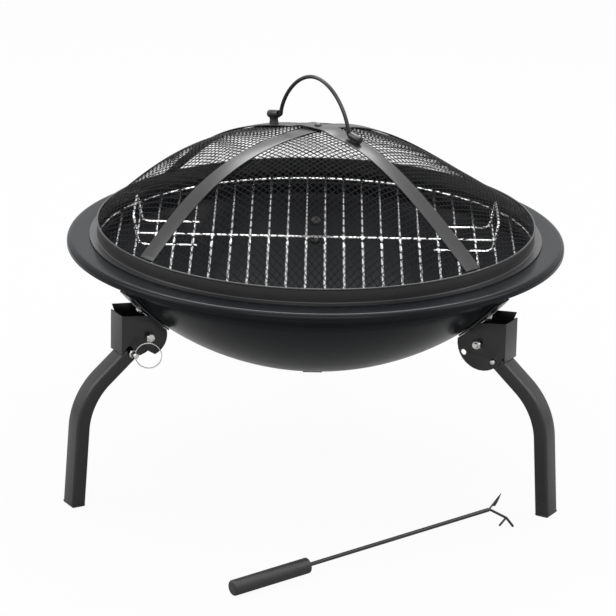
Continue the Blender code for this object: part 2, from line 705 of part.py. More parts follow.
def build_plate(name, az, mat):
    """Curved saddle between the bracket and the bowl, with its two bolt holes."""
    n = 6
    span = [PLATE_SPAN[0] + (PLATE_SPAN[1] - PLATE_SPAN[0]) * k / n for k in range(n + 1)]
    outline = [on_bowl(a, PLATE_IN) for a in span] + [on_bowl(a, PLATE_OUT) for a in reversed(span)]
    body = slab(outline, -PLATE_HALF, PLATE_HALF)
    holes = []
    for angle in BOLT_AT:
        (x0, z0), (x1, z1) = on_bowl(angle, BOWL_R - 4), on_bowl(angle, BOWL_R + 8)
        holes.append(rod(PIVOT_BOLT_R + GAP, (x0, 0, z0), (x1, 0, z1), 12))
    x, z = on_bowl(BOLT_AT[0], PLATE_IN)
    return finish(name, combine(body, [several(holes)], "DIFFERENCE"), mat, (x, 0, z), az, smooth=False)


def build_mount_bolt(name, az, angle, mat):
    """Round head inside the bowl, shank through bowl and plate, nut outside."""
    def at(radius):
        x, z = on_bowl(angle, radius)
        return x, 0, z
    inner = BOWL_R - BOWL_SHEET - GAP - FACET
    head = rod(6.0, at(inner - 2.4), at(inner), 10)
    shank = rod(PIVOT_BOLT_R, at(inner - 1.0), at(PLATE_OUT + GAP + 3.9), 10)
    nut = hexagon(9.0, at(PLATE_OUT + GAP), at(PLATE_OUT + GAP + 3.0))
    return finish(name, combine(head, [shank, nut], "UNION"), mat, at(PLATE_OUT), az, smooth=False)


def cheek_outline(kind, raised):
    """Outline of one side of the channel: the small lobe or the large disc, following the saddle plate."""
    px, pz = PIVOT
    fit = PLATE_OUT + GAP
    if kind == "disc":
        cx, cz, rad = px + DISC_OFF[0], pz + DISC_OFF[1], DISC_R
    else:
        cx, cz, rad = px, pz, LOBE_R
    away = math.hypot(cx, cz - BOWL_TOP_Z)
    aim = math.degrees(math.atan2(cz - BOWL_TOP_Z, cx))
    spread = math.degrees(math.acos((fit ** 2 + away ** 2 - rad ** 2) / (2 * fit * away)))
    meet = on_bowl(aim - spread, fit)
    start = math.degrees(math.atan2(meet[1] - cz, meet[0] - cx)) % 360
    step = FAR_STEP if raised else 0.0
    top_angle = math.degrees(math.asin((WEB_TOP + step * 1.4 - 5.0 - BOWL_TOP_Z) / fit))
    back = [on_bowl(top_angle + (aim - spread - top_angle) * k / 6, fit) for k in range(7)]
    if kind == "disc":
        stop = 360 - math.degrees(math.acos((WEB_R - DISC_INSET - cx) / rad))
        low = arc(cx, cz, rad, start, stop, 14)[1:]
        low.append((WEB_R, low[-1][1] + 3.0))
    else:
        low = arc(cx, cz, rad, start, LOBE_END, 8)[1:]
        out = WEB_R - px
        low += [(px + 0.1 * out, pz - 0.66 * rad), (px + 0.35 * out, pz - THROAT), (px + 0.76 * out, pz - THROAT),
                (WEB_R, web_foot() + 0.2)]
    if raised:
        roof = [(WEB_R, WEB_TOP - 4.0), (WEB_R - 4.0, WEB_TOP - 2.0), (WEB_R - 1.0, WEB_TOP + step)]
    else:
        roof = [(WEB_R, WEB_TOP)]
    return back + low + roof


def web_foot():
    """Lower edge of the web, just above the tube's upper face."""
    p, d0, _, _, _, _ = leg_frame()
    along = (WEB_R - BRACKET_T - p.x) / d0.x
    return p.y + d0.y * along + TUBE_D / 2 / d0.x + 0.8


def build_bracket(name, az, tall, mat):
    """U channel: outer web, the lobe cheek towards +Y and the disc cheek towards -Y."""
    web = box(WEB_R - BRACKET_T, WEB_R, -CHANNEL_OUT, CHANNEL_OUT, web_foot(), WEB_TOP)
    lobe = slab(cheek_outline("lobe", tall > 0), CHANNEL_IN, CHANNEL_OUT)
    disc = slab(cheek_outline("disc", tall < 0), -CHANNEL_OUT, -CHANNEL_IN)
    body = combine(web, [lobe, disc], "UNION")
    far = CHANNEL_OUT + 5
    px, pz = PIVOT
    cuts = [rod(PIVOT_BOLT_R + GAP, (px, -far, pz), (px, far, pz), 16)]
    lx, lz = lock_point()
    cuts.append(rod(PIN_R + GAP, (lx, -far, lz), (lx, -CHANNEL_IN + 5, lz), 16))
    sx, sz = px + SPARE_HOLE[0], pz + SPARE_HOLE[1]
    cuts.append(rod(PIN_R + GAP, (sx, -far, sz), (sx, -CHANNEL_IN + 5, sz), 16))
    return finish(name, combine(body, [several(cuts)], "DIFFERENCE"), mat, (px, 0, pz), az, smooth=False)


def build_pivot_bolt(name, az, mat):
    px, pz = PIVOT
    y = CHANNEL_OUT + GAP
    shank = rod(PIVOT_BOLT_R, (px, -y - 7.0, pz), (px, y + 1.0, pz), 16)
    head = hexagon(9.6, (px, y, pz), (px, y + 4.0, pz))
    return finish(name, combine(shank, [head], "UNION"), mat, (px, 0, pz), az, smooth=False)


def build_pivot_nut(name, az, mat):
    px, pz = PIVOT
    y = CHANNEL_OUT + GAP
    nut = hexagon(10.0, (px, -y - 4.6, pz), (px, -y, pz))
    bore = rod(PIVOT_BOLT_R + GAP, (px, -y - 9, pz), (px, -y + 4, pz), 16)
    return finish(name, combine(nut, [bore], "DIFFERENCE"), mat, (px, -y, pz), az, smooth=False)


def eye_point():
    x, z = lock_point()
    return Vector((x, CHANNEL_IN + 2.0 + EYE_AT, z))


def build_lock_pin(name, az, mat):
    """Stepped pin: rounded tip beyond the disc cheek, collar and a cross-drilled eye on the lobe side."""
    x, z = lock_point()
    y0 = TUBE_W / 2 + GAP
    tip = -CHANNEL_OUT - 4.0
    outline = [(0, tip), (PIN_R - 0.9, tip), (PIN_R, tip + 1.2), (PIN_R, y0), (4.6, y0), (4.6, y0 + 1.6),
               (3.4, y0 + 1.9), (3.4, CHANNEL_IN + 2.0 + EYE_AT + 2.6), (2.4, CHANNEL_IN + 5.8 + EYE_AT),
               (0, CHANNEL_IN + 5.8 + EYE_AT)]
    body = revolved(outline, 12, axis="Y", closed=False)
    body.transform(Matrix.Translation((x, 0, z)))
    e = eye_point()
    eye = rod(PULL_WIRE + 0.6, (e.x, e.y, e.z - 8), (e.x, e.y, e.z + 8), 12)
    return finish(name, combine(body, [eye], "DIFFERENCE"), mat, (x, y0, z), az)


def build_pull_ring(name, az, mat):
    """Ring through the pin's eye, standing off the tube; it swings about the eye's vertical axis."""
    e = eye_point()
    a = math.radians(180.0 - RING_TURN)
    out = Vector((math.cos(a), math.sin(a), 0))
    centre = e + out * PULL_RING_R
    pts = [centre - out * (PULL_RING_R * math.cos(t)) + Vector((0, 0, PULL_RING_R * math.sin(t)))
           for t in (2 * math.pi * k / 24 for k in range(24))]
    return finish(name, wire(pts, PULL_WIRE, 6, cyclic=True), mat, e, az)


# Poker

def build_poker(rod_mat, grip_mat):
    """Round rod with a pushed-on grip, ending in a barbed blade and a two-pronged rake that touches the ground."""
    tilt = math.atan2(GRIP_R + TINE_FRONT[1] - TINE_R, POKER_LEN + TINE_FRONT[0])
    turn = (Matrix.Translation((POKER_START[0], POKER_START[1], GRIP_R * math.cos(tilt)))
            @ Matrix.Rotation(math.radians(POKER_AZ), 4, "Z") @ Matrix.Rotation(tilt, 4, "Y"))

    def run(p, q, radius):
        return wire([(POKER_LEN + p[0], 0, p[1]), (POKER_LEN + q[0], 0, q[1])], radius)
    fork = (0.0, 0.0)
    width = (BRANCH_R * 0.7, -BRANCH_R * 0.7)
    neck = [(SPEAR_BACK[0] * 0.4 - width[0], SPEAR_BACK[1] * 0.4 - width[1]),
            (SPEAR_BACK[0] * 0.4 + width[0], SPEAR_BACK[1] * 0.4 + width[1])]
    blade = [neck[0], neck[1], (SPEAR_BACK[0] + width[0], SPEAR_BACK[1] + width[1]), BARB, BLADE_BELLY, SPEAR_TIP]
    flat = slab([(POKER_LEN + x, z) for x, z in blade], -BLADE_T / 2, BLADE_T / 2)
    shaft = wire([(GRIP_LEN - GRIP_SOCKET, 0, 0), (POKER_LEN + 1.0, 0, 0)], ROD_R)
    body = combine(shaft, [run(fork, BRANCH, BRANCH_R), flat, run(fork, SPEAR_BACK, BRANCH_R * 0.8)], "UNION")
    for tine in (TINE_FRONT, TINE_BACK):
        body = combine(body, [run(BRANCH, tine, TINE_R)], "UNION")
    body.transform(turn)
    start = turn @ Vector((GRIP_LEN, 0, 0))
    finish("poker_rod", body, rod_mat, start)
    r = GRIP_R
    outline = [(0, 0), (r - 2.0, 0), (r - 0.5, 1.2), (r, 3.2), (r, GRIP_LEN - 3.2), (r - 0.6, GRIP_LEN - 1.0),
               (r - 1.6, GRIP_LEN), (ROD_R + GAP, GRIP_LEN), (ROD_R + GAP, GRIP_LEN - GRIP_SOCKET - GAP),
               (0, GRIP_LEN - GRIP_SOCKET - GAP)]
    grip = revolved(outline, 18, closed=False)
    grip.transform(turn @ Matrix.Rotation(math.radians(90), 4, "Y"))
    finish("poker_grip", grip, grip_mat, start)


def centre_on_origin():
    """Move every piece so that the ground under the middle of the whole set is the origin."""
    bpy.context.view_layer.update()
    pieces = list(bpy.context.scene.objects)
    corners = [ob.matrix_world @ v.co for ob in pieces for v in ob.data.vertices]
    low = [min(c[k] for c in corners) for k in range(3)]
    high = [max(c[k] for c in corners) for k in range(3)]
    shift = Vector(((low[0] + high[0]) / 2, (low[1] + high[1]) / 2, low[2]))
    for ob in pieces:
        ob.location -= shift
    print("bowl axis at", [round(-c / MM, 3) for c in shift], "size", [round((h - l) / MM, 2) for h, l in zip(high, low)])


def main():
    clear_scene()
    coat = material("black_coat", (0.018, 0.018, 0.02), 0.42, 0.0)
    bowl_coat = material("bowl_coat", (0.02, 0.02, 0.022), 0.45, 0.0)
    screen = material("mesh_coat", (0.016, 0.016, 0.018), 0.5, 0.0)
    chrome = material("grate_chrome", (0.75, 0.75, 0.76), 0.15, 1.0)
    zinc = material("zinc", (0.62, 0.63, 0.65), 0.28, 1.0)
    rubber = material("foot_plastic", (0.012, 0.012, 0.012), 0.6, 0.0)
    grip = material("grip_plastic", (0.014, 0.014, 0.014), 0.55, 0.0)

    build_bowl(bowl_coat)
    build_grate(chrome)
    build_grate_handle("grate_handle_left", -1, chrome)
    build_grate_handle("grate_handle_right", 1, chrome)
    build_lid_ring(coat)
    build_lid_mesh(screen)
    build_strap("strap_upper", STRAP_AZ[0], True, coat)
    build_strap("strap_lower", STRAP_AZ[1], False, coat)
    build_apex_rivet(zinc)
    build_bail_socket("bail_socket_rear", 1, coat)
    build_bail_socket("bail_socket_front", -1, coat)
    build_bail(coat)
    for name, az, tall in zip(LEG_NAMES, LEG_AZ, TALL_SIDE):
        build_bracket("bracket_" + name, az, tall, coat)
        build_plate("saddle_" + name, az, coat)
        build_mount_bolt("mount_bolt_upper_" + name, az, BOLT_AT[0], zinc)
        build_mount_bolt("mount_bolt_lower_" + name, az, BOLT_AT[1], zinc)
        build_pivot_bolt("pivot_bolt_" + name, az, zinc)
        build_pivot_nut("pivot_nut_" + name, az, coat)
        build_tube("leg_" + name, az, coat)
        build_foot("foot_" + name, az, rubber)
        build_lock_pin("lock_pin_" + name, az, zinc)
        build_pull_ring("pull_ring_" + name, az, zinc)
    build_poker(coat, grip)
    centre_on_origin()


main()
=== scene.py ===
"""Folding steel fire bowl with a cooking grate, a mesh spark lid and a poker.

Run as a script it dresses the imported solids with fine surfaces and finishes.
Shapes are surfaces of two parameters worked out as whole arrays, in millimetres
about the bowl's axis, and put into the meshes in metres.
"""

import json
import math

import bmesh
import bpy
import numpy as np
from mathutils import Matrix, Vector


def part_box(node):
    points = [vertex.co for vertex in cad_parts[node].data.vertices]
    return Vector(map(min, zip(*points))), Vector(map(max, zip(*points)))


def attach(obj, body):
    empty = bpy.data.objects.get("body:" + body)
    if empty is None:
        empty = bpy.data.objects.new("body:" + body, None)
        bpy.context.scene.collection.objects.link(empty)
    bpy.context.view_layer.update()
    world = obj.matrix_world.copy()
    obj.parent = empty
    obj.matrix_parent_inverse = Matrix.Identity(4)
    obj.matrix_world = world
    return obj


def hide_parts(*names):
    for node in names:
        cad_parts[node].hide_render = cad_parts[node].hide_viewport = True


bl_info = {
    "name": "Folding Fire Bowl",
    "version": (1, 0, 0),
    "blender": (4, 5, 0),
    "location": "3D View > Sidebar > Fire Bowl",
    "description": "Builds a folding fire bowl with its grate, spark lid and poker",
    "category": "Add Mesh",
}

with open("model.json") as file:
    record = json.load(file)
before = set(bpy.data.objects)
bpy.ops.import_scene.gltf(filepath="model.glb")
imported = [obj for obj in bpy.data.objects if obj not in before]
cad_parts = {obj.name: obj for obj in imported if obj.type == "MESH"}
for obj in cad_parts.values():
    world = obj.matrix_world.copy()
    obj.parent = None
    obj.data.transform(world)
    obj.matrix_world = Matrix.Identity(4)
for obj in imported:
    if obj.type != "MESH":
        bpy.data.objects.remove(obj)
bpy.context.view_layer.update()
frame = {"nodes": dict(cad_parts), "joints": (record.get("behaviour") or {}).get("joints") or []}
MM = 0.001
BOWL_LOW, BOWL_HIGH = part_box("fire_bowl")
AXIS_Y = (BOWL_LOW.y + BOWL_HIGH.y) / 2
LEGS = (("left", 210.0), ("right", 330.0), ("rear", 90.0))
JOINTS = {j["name"]: j for j in frame["joints"]}


def joint_point(name):
    """A joint's place in millimetres from the bowl's axis."""
    x, y, z = JOINTS[name]["pos_m"]
    return np.array([x, y - AXIS_Y, z]) / MM


PIVOT_POINT = joint_point("leg_fold_left")
PIVOT_R = math.hypot(PIVOT_POINT[0], PIVOT_POINT[1])
PIVOT_Z = PIVOT_POINT[2]
BAIL_Z = joint_point("bail_fold")[2]
FOOT_LOW, FOOT_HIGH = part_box("foot_rear")

# Sizes in millimetres, angles in degrees and a number of sides that several pieces share
GAP = 0.3
SADDLE = 2.0
CHANNEL_HALF = 13.7
TUBE_WIDE = 23.4
TUBE_SLOPE = 39.6
LOCK_ARM = 26.0
BOLT_R = 3.0
STRAP_AZ = {"strap_upper": 134.7, "strap_lower": 41.1}
STRAP_SEAT = 0.9
STEP_RUN = (15.0, 22.0)
FINE = 256


# Sizes and colours that a user would change

def length(name, text, default):
    """A length property whose default is given in millimetres."""
    return bpy.props.FloatProperty(name=name, description=text, default=default * MM, min=0.0,
                                   unit="LENGTH", subtype="DISTANCE", precision=4)


def number(name, text, default, **options):
    """A number property."""
    return bpy.props.FloatProperty(name=name, description=text, default=default, **options)


def colour(name, text, default):
    """A linear colour property."""
    return bpy.props.FloatVectorProperty(name=name, description=text, default=default, size=3,
                                         subtype="COLOR", min=0.0, max=1.0)


class BowlSizes(bpy.types.PropertyGroup):
    pan_radius: length("Pan radius", "Radius of the pan's sphere", 312.0)
    sheet: length("Bowl sheet", "Thickness of the bowl's steel", 1.2)
    collar_radius: length("Collar radius", "Middle of the collar's wall", 243.6)
    ledge_height: length("Ledge height", "Height of the ledge the grate lies on", 259.6)
    mouth_radius: length("Mouth radius", "Middle of the wall round the grate", 251.2)
    crest_height: length("Crest height", "Highest line of the rim", 270.9)
    rim_radius: length("Rim radius", "Outer radius of the rim", 280.0)
    rim_roll: length("Rim roll", "Radius of the rolled edge", 5.4)
    rim_drop: length("Rim drop", "Depth of the rolled edge", 8.1)


class LidSizes(bpy.types.PropertyGroup):
    band_radius: length("Band radius", "Outer radius of the lid's band", 246.2)
    band_foot: length("Band foot", "Height of the band's lower side", 271.8)
    band_top: length("Band top", "Height of the band's upper edge", 289.8)
    foot_radius: length("Foot radius", "Outer radius of the band's foot", 255.0)
    dome_radius: length("Dome radius", "Radius of the mesh at the band", 244.0)
    dome_base: length("Dome base", "Height of the mesh at the band", 288.0)
    dome_rise: length("Dome rise", "Rise of the mesh above the band", 106.3)
    dome_power: number("Dome power", "How flat the crown is", 2.107)
    dome_ease: number("Dome ease", "How the dome meets the band", 1.06)
    dome_lean: length("Dome lean", "How far the dome is pressed to one side", 6.6)
    dome_lean_turn: number("Lean direction", "Side that the dome is pressed to",
                           math.radians(41.0), unit="ROTATION", subtype="ANGLE")
    dome_wave: length("Dome wave", "How far the crown and the shoulder sway across the dome", 3.4)
    cell_width: length("Cell width", "Width of a mesh cell", 8.3)
    cell_height: length("Cell height", "Length of a mesh cell", 8.6)
    strand: length("Strand", "Width of a mesh strand", 0.56)
    strand_depth: length("Strand depth", "Thickness of the mesh", 0.42)
    strap_width: length("Strap width", "Width of the straps", 22.0)
    strap_sheet: length("Strap sheet", "Thickness of the straps", 1.6)
    bail_wire: length("Handle wire", "Half thickness of the handle's wire", 2.2)
    bail_shift: length("Handle offset", "Offset of the handle along the upper strap", 6.0)
    barrel_start: length("Barrel start", "Distance from the handle's middle to a barrel", 57.0)


class GrateSizes(bpy.types.PropertyGroup):
    ring_radius: length("Ring radius", "Radius of the grate's ring", 247.0)
    ring_wire: length("Ring wire", "Half thickness of the ring's wire", 2.4)
    bar_wire: length("Bar wire", "Half thickness of the bars", 1.5)
    bar_count: bpy.props.IntProperty(name="Bars", description="Number of bars", default=22, min=2)
    pitch: length("Pitch", "Distance between bars", 21.2)
    handle_half: length("Handle half width", "Half the width of a handle", 43.0)
    handle_rise: length("Handle rise", "Height of a handle above the bars", 32.0)


class FinishColours(bpy.types.PropertyGroup):
    coat: colour("Powder coat", "Satin black coat of the frame and lid", (0.013, 0.013, 0.0142))
    bowl: colour("Bowl paint", "Heat paint of the bowl", (0.0066, 0.0075, 0.0088))
    screen: colour("Mesh paint", "Matt paint of the mesh", (0.005, 0.005, 0.0056))
    chrome: colour("Chrome", "Plating of the grate", (0.93, 0.93, 0.94))
    zinc: colour("Zinc", "Plating of the fasteners", (0.66, 0.66, 0.67))
    plastic: colour("Plastic", "Feet of the legs", (0.012, 0.012, 0.0125))
    grip: colour("Grip", "Grip of the poker", (0.009, 0.009, 0.0095))


def mm(group, *names):
    """Lengths of a property group, in millimetres."""
    got = [getattr(group, n) / MM for n in names]
    return got[0] if len(got) == 1 else got


# Surfaces

class Skin:
    """Grids of points that make up the surface of one piece."""

    def __init__(self):
        self.points, self.faces, self.count = [], [], 0

    def grid(self, p, looped=False):
        """Four-sided faces between neighbours p[u, v], closed round v and, if looped, along u."""
        p = np.asarray(p, float)
        k = np.arange(p.shape[0] * p.shape[1]).reshape(p.shape[:2]) + self.count
        if looped:
            k = np.vstack([k, k[:1]])
        k = np.hstack([k, k[:, :1]])
        corners = k[:-1, :-1], k[1:, :-1], k[1:, 1:], k[:-1, 1:]
        self.faces.append(np.stack(corners, -1).reshape(-1, 4))
        self.points.append(p.reshape(-1, 3))
        self.count += p.shape[0] * p.shape[1]
        return self

    def capped(self, p):
        """A tube p[along, round] whose two ends run in to their middles."""
        p = np.asarray(p, float)
        first, last = (np.broadcast_to(q.mean(0), q.shape)[None] for q in (p[0], p[-1]))
        return self.grid(np.concatenate([first, p, last]))

    def mesh(self, name, azimuth=0.0, crease=32.0, merge=True):
        """One mesh in metres, turned about the bowl's axis; merging turns its faces outward."""
        p = (swung(np.concatenate(self.points), azimuth) + (0, AXIS_Y / MM, 0)) * MM
        f = np.concatenate(self.faces).astype(np.int32)
        me = bpy.data.meshes.new(name)
        me.vertices.add(len(p))
        me.vertices.foreach_set("co", p.astype(np.float32).ravel())
        me.loops.add(f.size)
        me.loops.foreach_set("vertex_index", f.ravel())
        me.polygons.add(len(f))
        me.polygons.foreach_set("loop_start", np.arange(0, f.size, 4, dtype=np.int32))
        me.update(calc_edges=True)
        if merge:
            bm = bmesh.new()
            bm.from_mesh(me)
            bmesh.ops.remove_doubles(bm, verts=bm.verts, dist=2e-6)
            bmesh.ops.dissolve_degenerate(bm, edges=bm.edges, dist=1e-7)
            bmesh.ops.recalc_face_normals(bm, faces=bm.faces)
            bm.to_mesh(me)
            bm.free()
        return shaded(me, crease)


def shaded(mesh, crease=None):
    """Smooth shading, broken at edges sharper than crease degrees."""
    mesh.polygons.foreach_set("use_smooth", np.ones(len(mesh.polygons), bool))
    if crease is not None:
        mesh.set_sharp_from_angle(angle=math.radians(crease))
    return mesh


def unit(v):
    """Vectors brought to length one."""
    return v / np.maximum(np.linalg.norm(v, axis=-1, keepdims=True), 1e-12)


def around(sides):
    """Angles of a full circle, without the repeat of the first."""
    return 2 * np.pi * np.arange(sides) / sides


def joined(*parts):
    """Coordinates brought together as points; the shorter ones are repeated."""
    return np.stack(np.broadcast_arrays(*parts), -1)


def square(d):
    """Flat directions turned a quarter to the left: (-y, x)."""
    return joined(-d[..., 1], d[..., 0])


def arc(middle, radius, start, stop, count):
    """Points on an arc between two angles in degrees; the radius may be a pair."""
    t = np.radians(np.linspace(start, stop, count))
    return joined(np.cos(t), np.sin(t)) * radius + middle


def spun(r, h, t):
    """Radii and heights carried round the z axis: (r cos t, r sin t, h)."""
    return joined(r * np.cos(t), r * np.sin(t), h)


def swung(points, azimuth):
    """Points turned about the z axis by an angle in degrees."""
    x, y, z = np.moveaxis(np.asarray(points, float), -1, 0)
    a = math.radians(azimuth)
    c, s = math.cos(a), math.sin(a)
    return joined(x * c - y * s, x * s + y * c, z)


def tube(path, radius, sides, side=(0, 0, 1), closed=False):
    """Circle carried along a path: path + radius (cos t across + sin t over).

    Across is square to the path and to the given side; radius may change along the path."""
    p = np.asarray(path, float)
    way = unit(np.roll(p, -1, 0) - np.roll(p, 1, 0)) if closed else unit(np.gradient(p, axis=0))
    across = unit(np.cross(way, np.asarray(side, float)))
    over = np.cross(across, way)
    t = around(sides)[:, None]
    r = np.broadcast_to(np.asarray(radius, float), (len(p),))[:, None, None]
    return p[:, None] + r * (np.cos(t) * across[:, None] + np.sin(t) * over[:, None])


def round_ends(path, radius):
    """Path and radii of a wire with domed ends.

    At each end the radius falls as the root of 1 minus distance squared."""
    p = np.asarray(path, float)
    t = np.sin(np.linspace(0, np.pi / 2, 5))
    head, tail = unit(p[0] - p[1]) * radius, unit(p[-1] - p[-2]) * radius
    r = radius * np.sqrt(np.maximum(1 - t ** 2, 1e-4))
    first = p[0] - head + head * t[:, None]
    last = p[-1] - tail + tail * t[:, None]
    mid = p[1:-1]
    return (np.concatenate([first[::-1], mid, last]),
            np.concatenate([r[::-1], np.full(len(mid), radius), r]))


def wire(path, radius, sides, side=(0, 0, 1)):
    """A tube with domed ends."""
    return tube(*round_ends(path, radius), sides, side)


def softened(points, radius, steps):
    """A path of straight runs whose inner corners are arcs of one radius."""
    p = np.asarray(points, float)
    out = [p[:1]]
    for a, b, c in zip(p, p[1:], p[2:]):
        d0, d1 = unit(b - a), unit(c - b)
        half = math.acos(float(np.clip(d0 @ d1, -1, 1))) / 2
        reach = radius * math.tan(half)
        middle = b + unit(d1 - d0) * radius / math.cos(half)
        e0 = unit(b - d0 * reach - middle)
        t = np.linspace(0, 2 * half, steps + 1)[:, None]
        out.append(middle + radius * (np.cos(t) * e0 + np.sin(t) * d0))
    return np.concatenate(out + [p[-1:]])


def evened(path, step):
    """The same path with points at even steps of its length."""
    p = np.asarray(path, float)
    s = np.concatenate([[0], np.cumsum(np.linalg.norm(np.diff(p, axis=0), axis=1))])
    t = np.linspace(0, s[-1], max(int(s[-1] / step), 2) + 1)
    return np.stack([np.interp(t, s, p[:, k]) for k in range(p.shape[1])], -1)


def turned(profile, sides):
    """Profile of radius and height carried round the z axis: (r cos t, r sin t, h)."""
    q = np.asarray(profile, float)
    return spun(q[:, :1], q[:, 1:], around(sides))


def hexed(profile, across_flats):
    """As turned, with the radius cut down to a hexagon's reach at each angle."""
    q = np.asarray(profile, float)
    t, sixth = around(48), np.pi / 3
    reach = across_flats / 2 / np.cos((t + sixth / 2) % sixth - sixth / 2)
    return spun(np.minimum(q[:, :1], reach), q[:, 1:], t)


def threaded(radius, tall):
    """Screw thread: the radius dips by a triangle wave of height over pitch less angle."""
    pitch, depth, per_turn = 1.0, 0.3, 6
    h = np.linspace(0.0, tall, int(tall / pitch * per_turn))[:, None]
    t = around(20)
    wave = np.abs(((h / pitch - t / (2 * np.pi)) % 1.0) * 2 - 1)
    return spun(radius - depth * wave, h, t)


def aimed(points, origin, way):
    """Points turned so that their z axis runs along way, and moved to origin."""
    w = unit(np.asarray(way, float))
    a = unit(np.cross(w, (0, 0, 1) if abs(w[2]) < 0.9 else (0, 1, 0)))
    b = np.cross(w, a)
    p = np.asarray(points, float)
    return p[..., :1] * a + p[..., 1:2] * b + p[..., 2:] * w + np.asarray(origin, float)


def walled(middle, thick):
    """Closed outline of a sheet's section: its middle line moved half a thickness each way."""
    p = np.asarray(middle, float)
    n = square(unit(np.gradient(p, axis=0))) * thick / 2
    return np.concatenate([p + n, (p - n)[::-1]])


# Finishes

class Flow:
    """A socket of a shader, with arithmetic that adds Math nodes."""

    def __init__(self, graph, socket):
        self.graph, self.socket = graph, socket

    def _math(self, operation, *values):
        return self.graph.node("Math", dict(enumerate(values)), operation=operation).out()

    def __add__(self, other):
        return self._math("ADD", self, other)

    def __sub__(self, other):
        return self._math("SUBTRACT", self, other)

    def __rsub__(self, other):
        return self._math("SUBTRACT", other, self)

    def __mul__(self, other):
        return self._math("MULTIPLY", self, other)

    __radd__, __rmul__ = __add__, __mul__

    def between(self, low, high):
        """Nought below low, one above high and a smooth step from one to the other."""
        sockets = {"Value": self, "From Min": low, "From Max": high}
        return self.graph.node("MapRange", sockets, interpolation_type="SMOOTHSTEP").out()


class Knot:
    """A shader node whose outputs are read as flows."""

    def __init__(self, graph, node):
        self.graph, self.shader = graph, node

    def out(self, name=0):
        return Flow(self.graph, self.shader.outputs[name])


class Graph:
    """A tree of shader nodes."""

    def __init__(self, tree):
        self.tree = tree

    def put(self, socket, value):
        """Links a flow to a socket, or sets the socket's value."""
        if isinstance(value, Flow):
            self.tree.links.new(value.socket, socket)
        elif socket.type == "RGBA":
            socket.default_value = (*value, 1.0)
        else:
            socket.default_value = value

    def node(self, kind, sockets=None, **settings):
        """Any node: its settings are made first, then its sockets get values or links."""
        made = self.tree.nodes.new("ShaderNode" + kind)
        for key, value in settings.items():
            setattr(made, key, value)
        for key, value in (sockets or {}).items():
            self.put(made.inputs[key], value)
        return Knot(self, made)


class Finish(Graph):
    """One material and its nodes."""

    def __init__(self, name):
        self.material = bpy.data.materials.new(name)
        self.material.use_nodes = True
        super().__init__(self.material.node_tree)
        self.shader = self.tree.nodes["Principled BSDF"]
        self.place = self.node("TexCoord").out("Object")

    def noise(self, scale, detail, rough=0.5):
        return self.node("TexNoise", {"Vector": self.place, "Scale": scale, "Detail": detail,
                                      "Roughness": rough}).out("Fac")

    def mix(self, amount, first, second):
        """Colour between two others; 0, 6 and 7 are the colour sockets of a mix."""
        return self.node("Mix", {0: amount, 6: first, 7: second}, data_type="RGBA").out(2)

    def bump(self, height, strength, distance):
        return self.node("Bump", {"Height": height, "Strength": strength,
                                  "Distance": distance}).out("Normal")

    def set(self, **values):
        """Feeds the shader's sockets, whose names have _ for a space."""
        for key, value in values.items():
            self.put(self.shader.inputs[key.replace("_", " ")], value)
        return self.material


def lighter(rgb, factor):
    """A paler colour, kept below white."""
    return tuple(min(c * factor, 1.0) for c in rgb)


def powder_coat(name, rgb, rough, peel, dust, shine):
    """Baked powder: fine orange peel, a slow drift of gloss and a trace of pale dust."""
    f = Finish(name)
    drift = f.noise(16.0, 3.0)
    grain = f.noise(1500.0, 2.0)
    specks = f.noise(420.0, 4.0, 0.7).between(0.60, 0.78)
    tone = f.mix(drift, rgb, lighter(rgb, 1.35))
    return f.set(Base_Color=f.mix(specks * (0.35 * dust), tone, lighter(rgb, 3.2)),
                 Roughness=drift * 0.10 + grain * 0.08 + (rough - 0.09),
                 Specular_IOR_Level=shine, Normal=f.bump(grain, 0.16 * peel, 0.0002))


def plated(name, rgb, rough, tint):
    """Plated metal: a faint drift of tint, streaky gloss and a slight ripple."""
    f = Finish(name)
    drift = f.noise(45.0, 2.0)
    grain = f.noise(260.0, 3.0)
    return f.set(Base_Color=f.mix(drift, rgb, tint), Metallic=1.0,
                 Roughness=grain * 0.12 + (rough - 0.04), Normal=f.bump(grain, 0.10, 0.0002))


def moulded(name, rgb, rough, scale, strength):
    """Moulded plastic: a fine even grain and slightly uneven gloss."""
    f = Finish(name)
    grain = f.noise(scale, 2.0)
    cloud = f.noise(30.0, 2.0)
    return f.set(Base_Color=f.mix(cloud, rgb, lighter(rgb, 1.5)),
                 Roughness=cloud * 0.12 + (rough - 0.05), Normal=f.bump(grain, strength, 0.0003))


FINISHES = {}


def finishes():
    """The finish of each material slot, made once."""
    if not FINISHES:
        c = bpy.context.scene.fire_bowl_colours
        FINISHES.update(
            black_coat=powder_coat("satin_black_coat", c.coat, 0.30, 0.5, 0.3, 0.45),
            bowl_coat=powder_coat("bowl_heat_paint", c.bowl, 0.24, 0.6, 0.3, 0.09),
            mesh_coat=powder_coat("mesh_matt_paint", c.screen, 0.5, 0.3, 0.2, 0.10),
            grate_chrome=plated("bright_chrome", c.chrome, 0.13, lighter(c.chrome, 0.9)),
            zinc=plated("bright_zinc", c.zinc, 0.26, (0.62, 0.61, 0.57)),
            foot_plastic=moulded("foot_plastic", c.plastic, 0.55, 2200.0, 0.2),
            grip_plastic=moulded("grip_plastic", c.grip, 0.5, 900.0, 0.12))
    return FINISHES


def placed(name, data):
    """A new object in the scene."""
    ob = bpy.data.objects.new(name, data)
    bpy.context.scene.collection.objects.link(ob)
    return ob


def show(name, mesh, body, slot, *stands_for):
    """Links a finished mesh as a piece of a body, in a slot's finish, in place of its solids."""
    ob = placed(name, mesh)
    mesh.materials.append(finishes()[slot])
    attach(ob, body)
    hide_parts(*stands_for)
    return ob


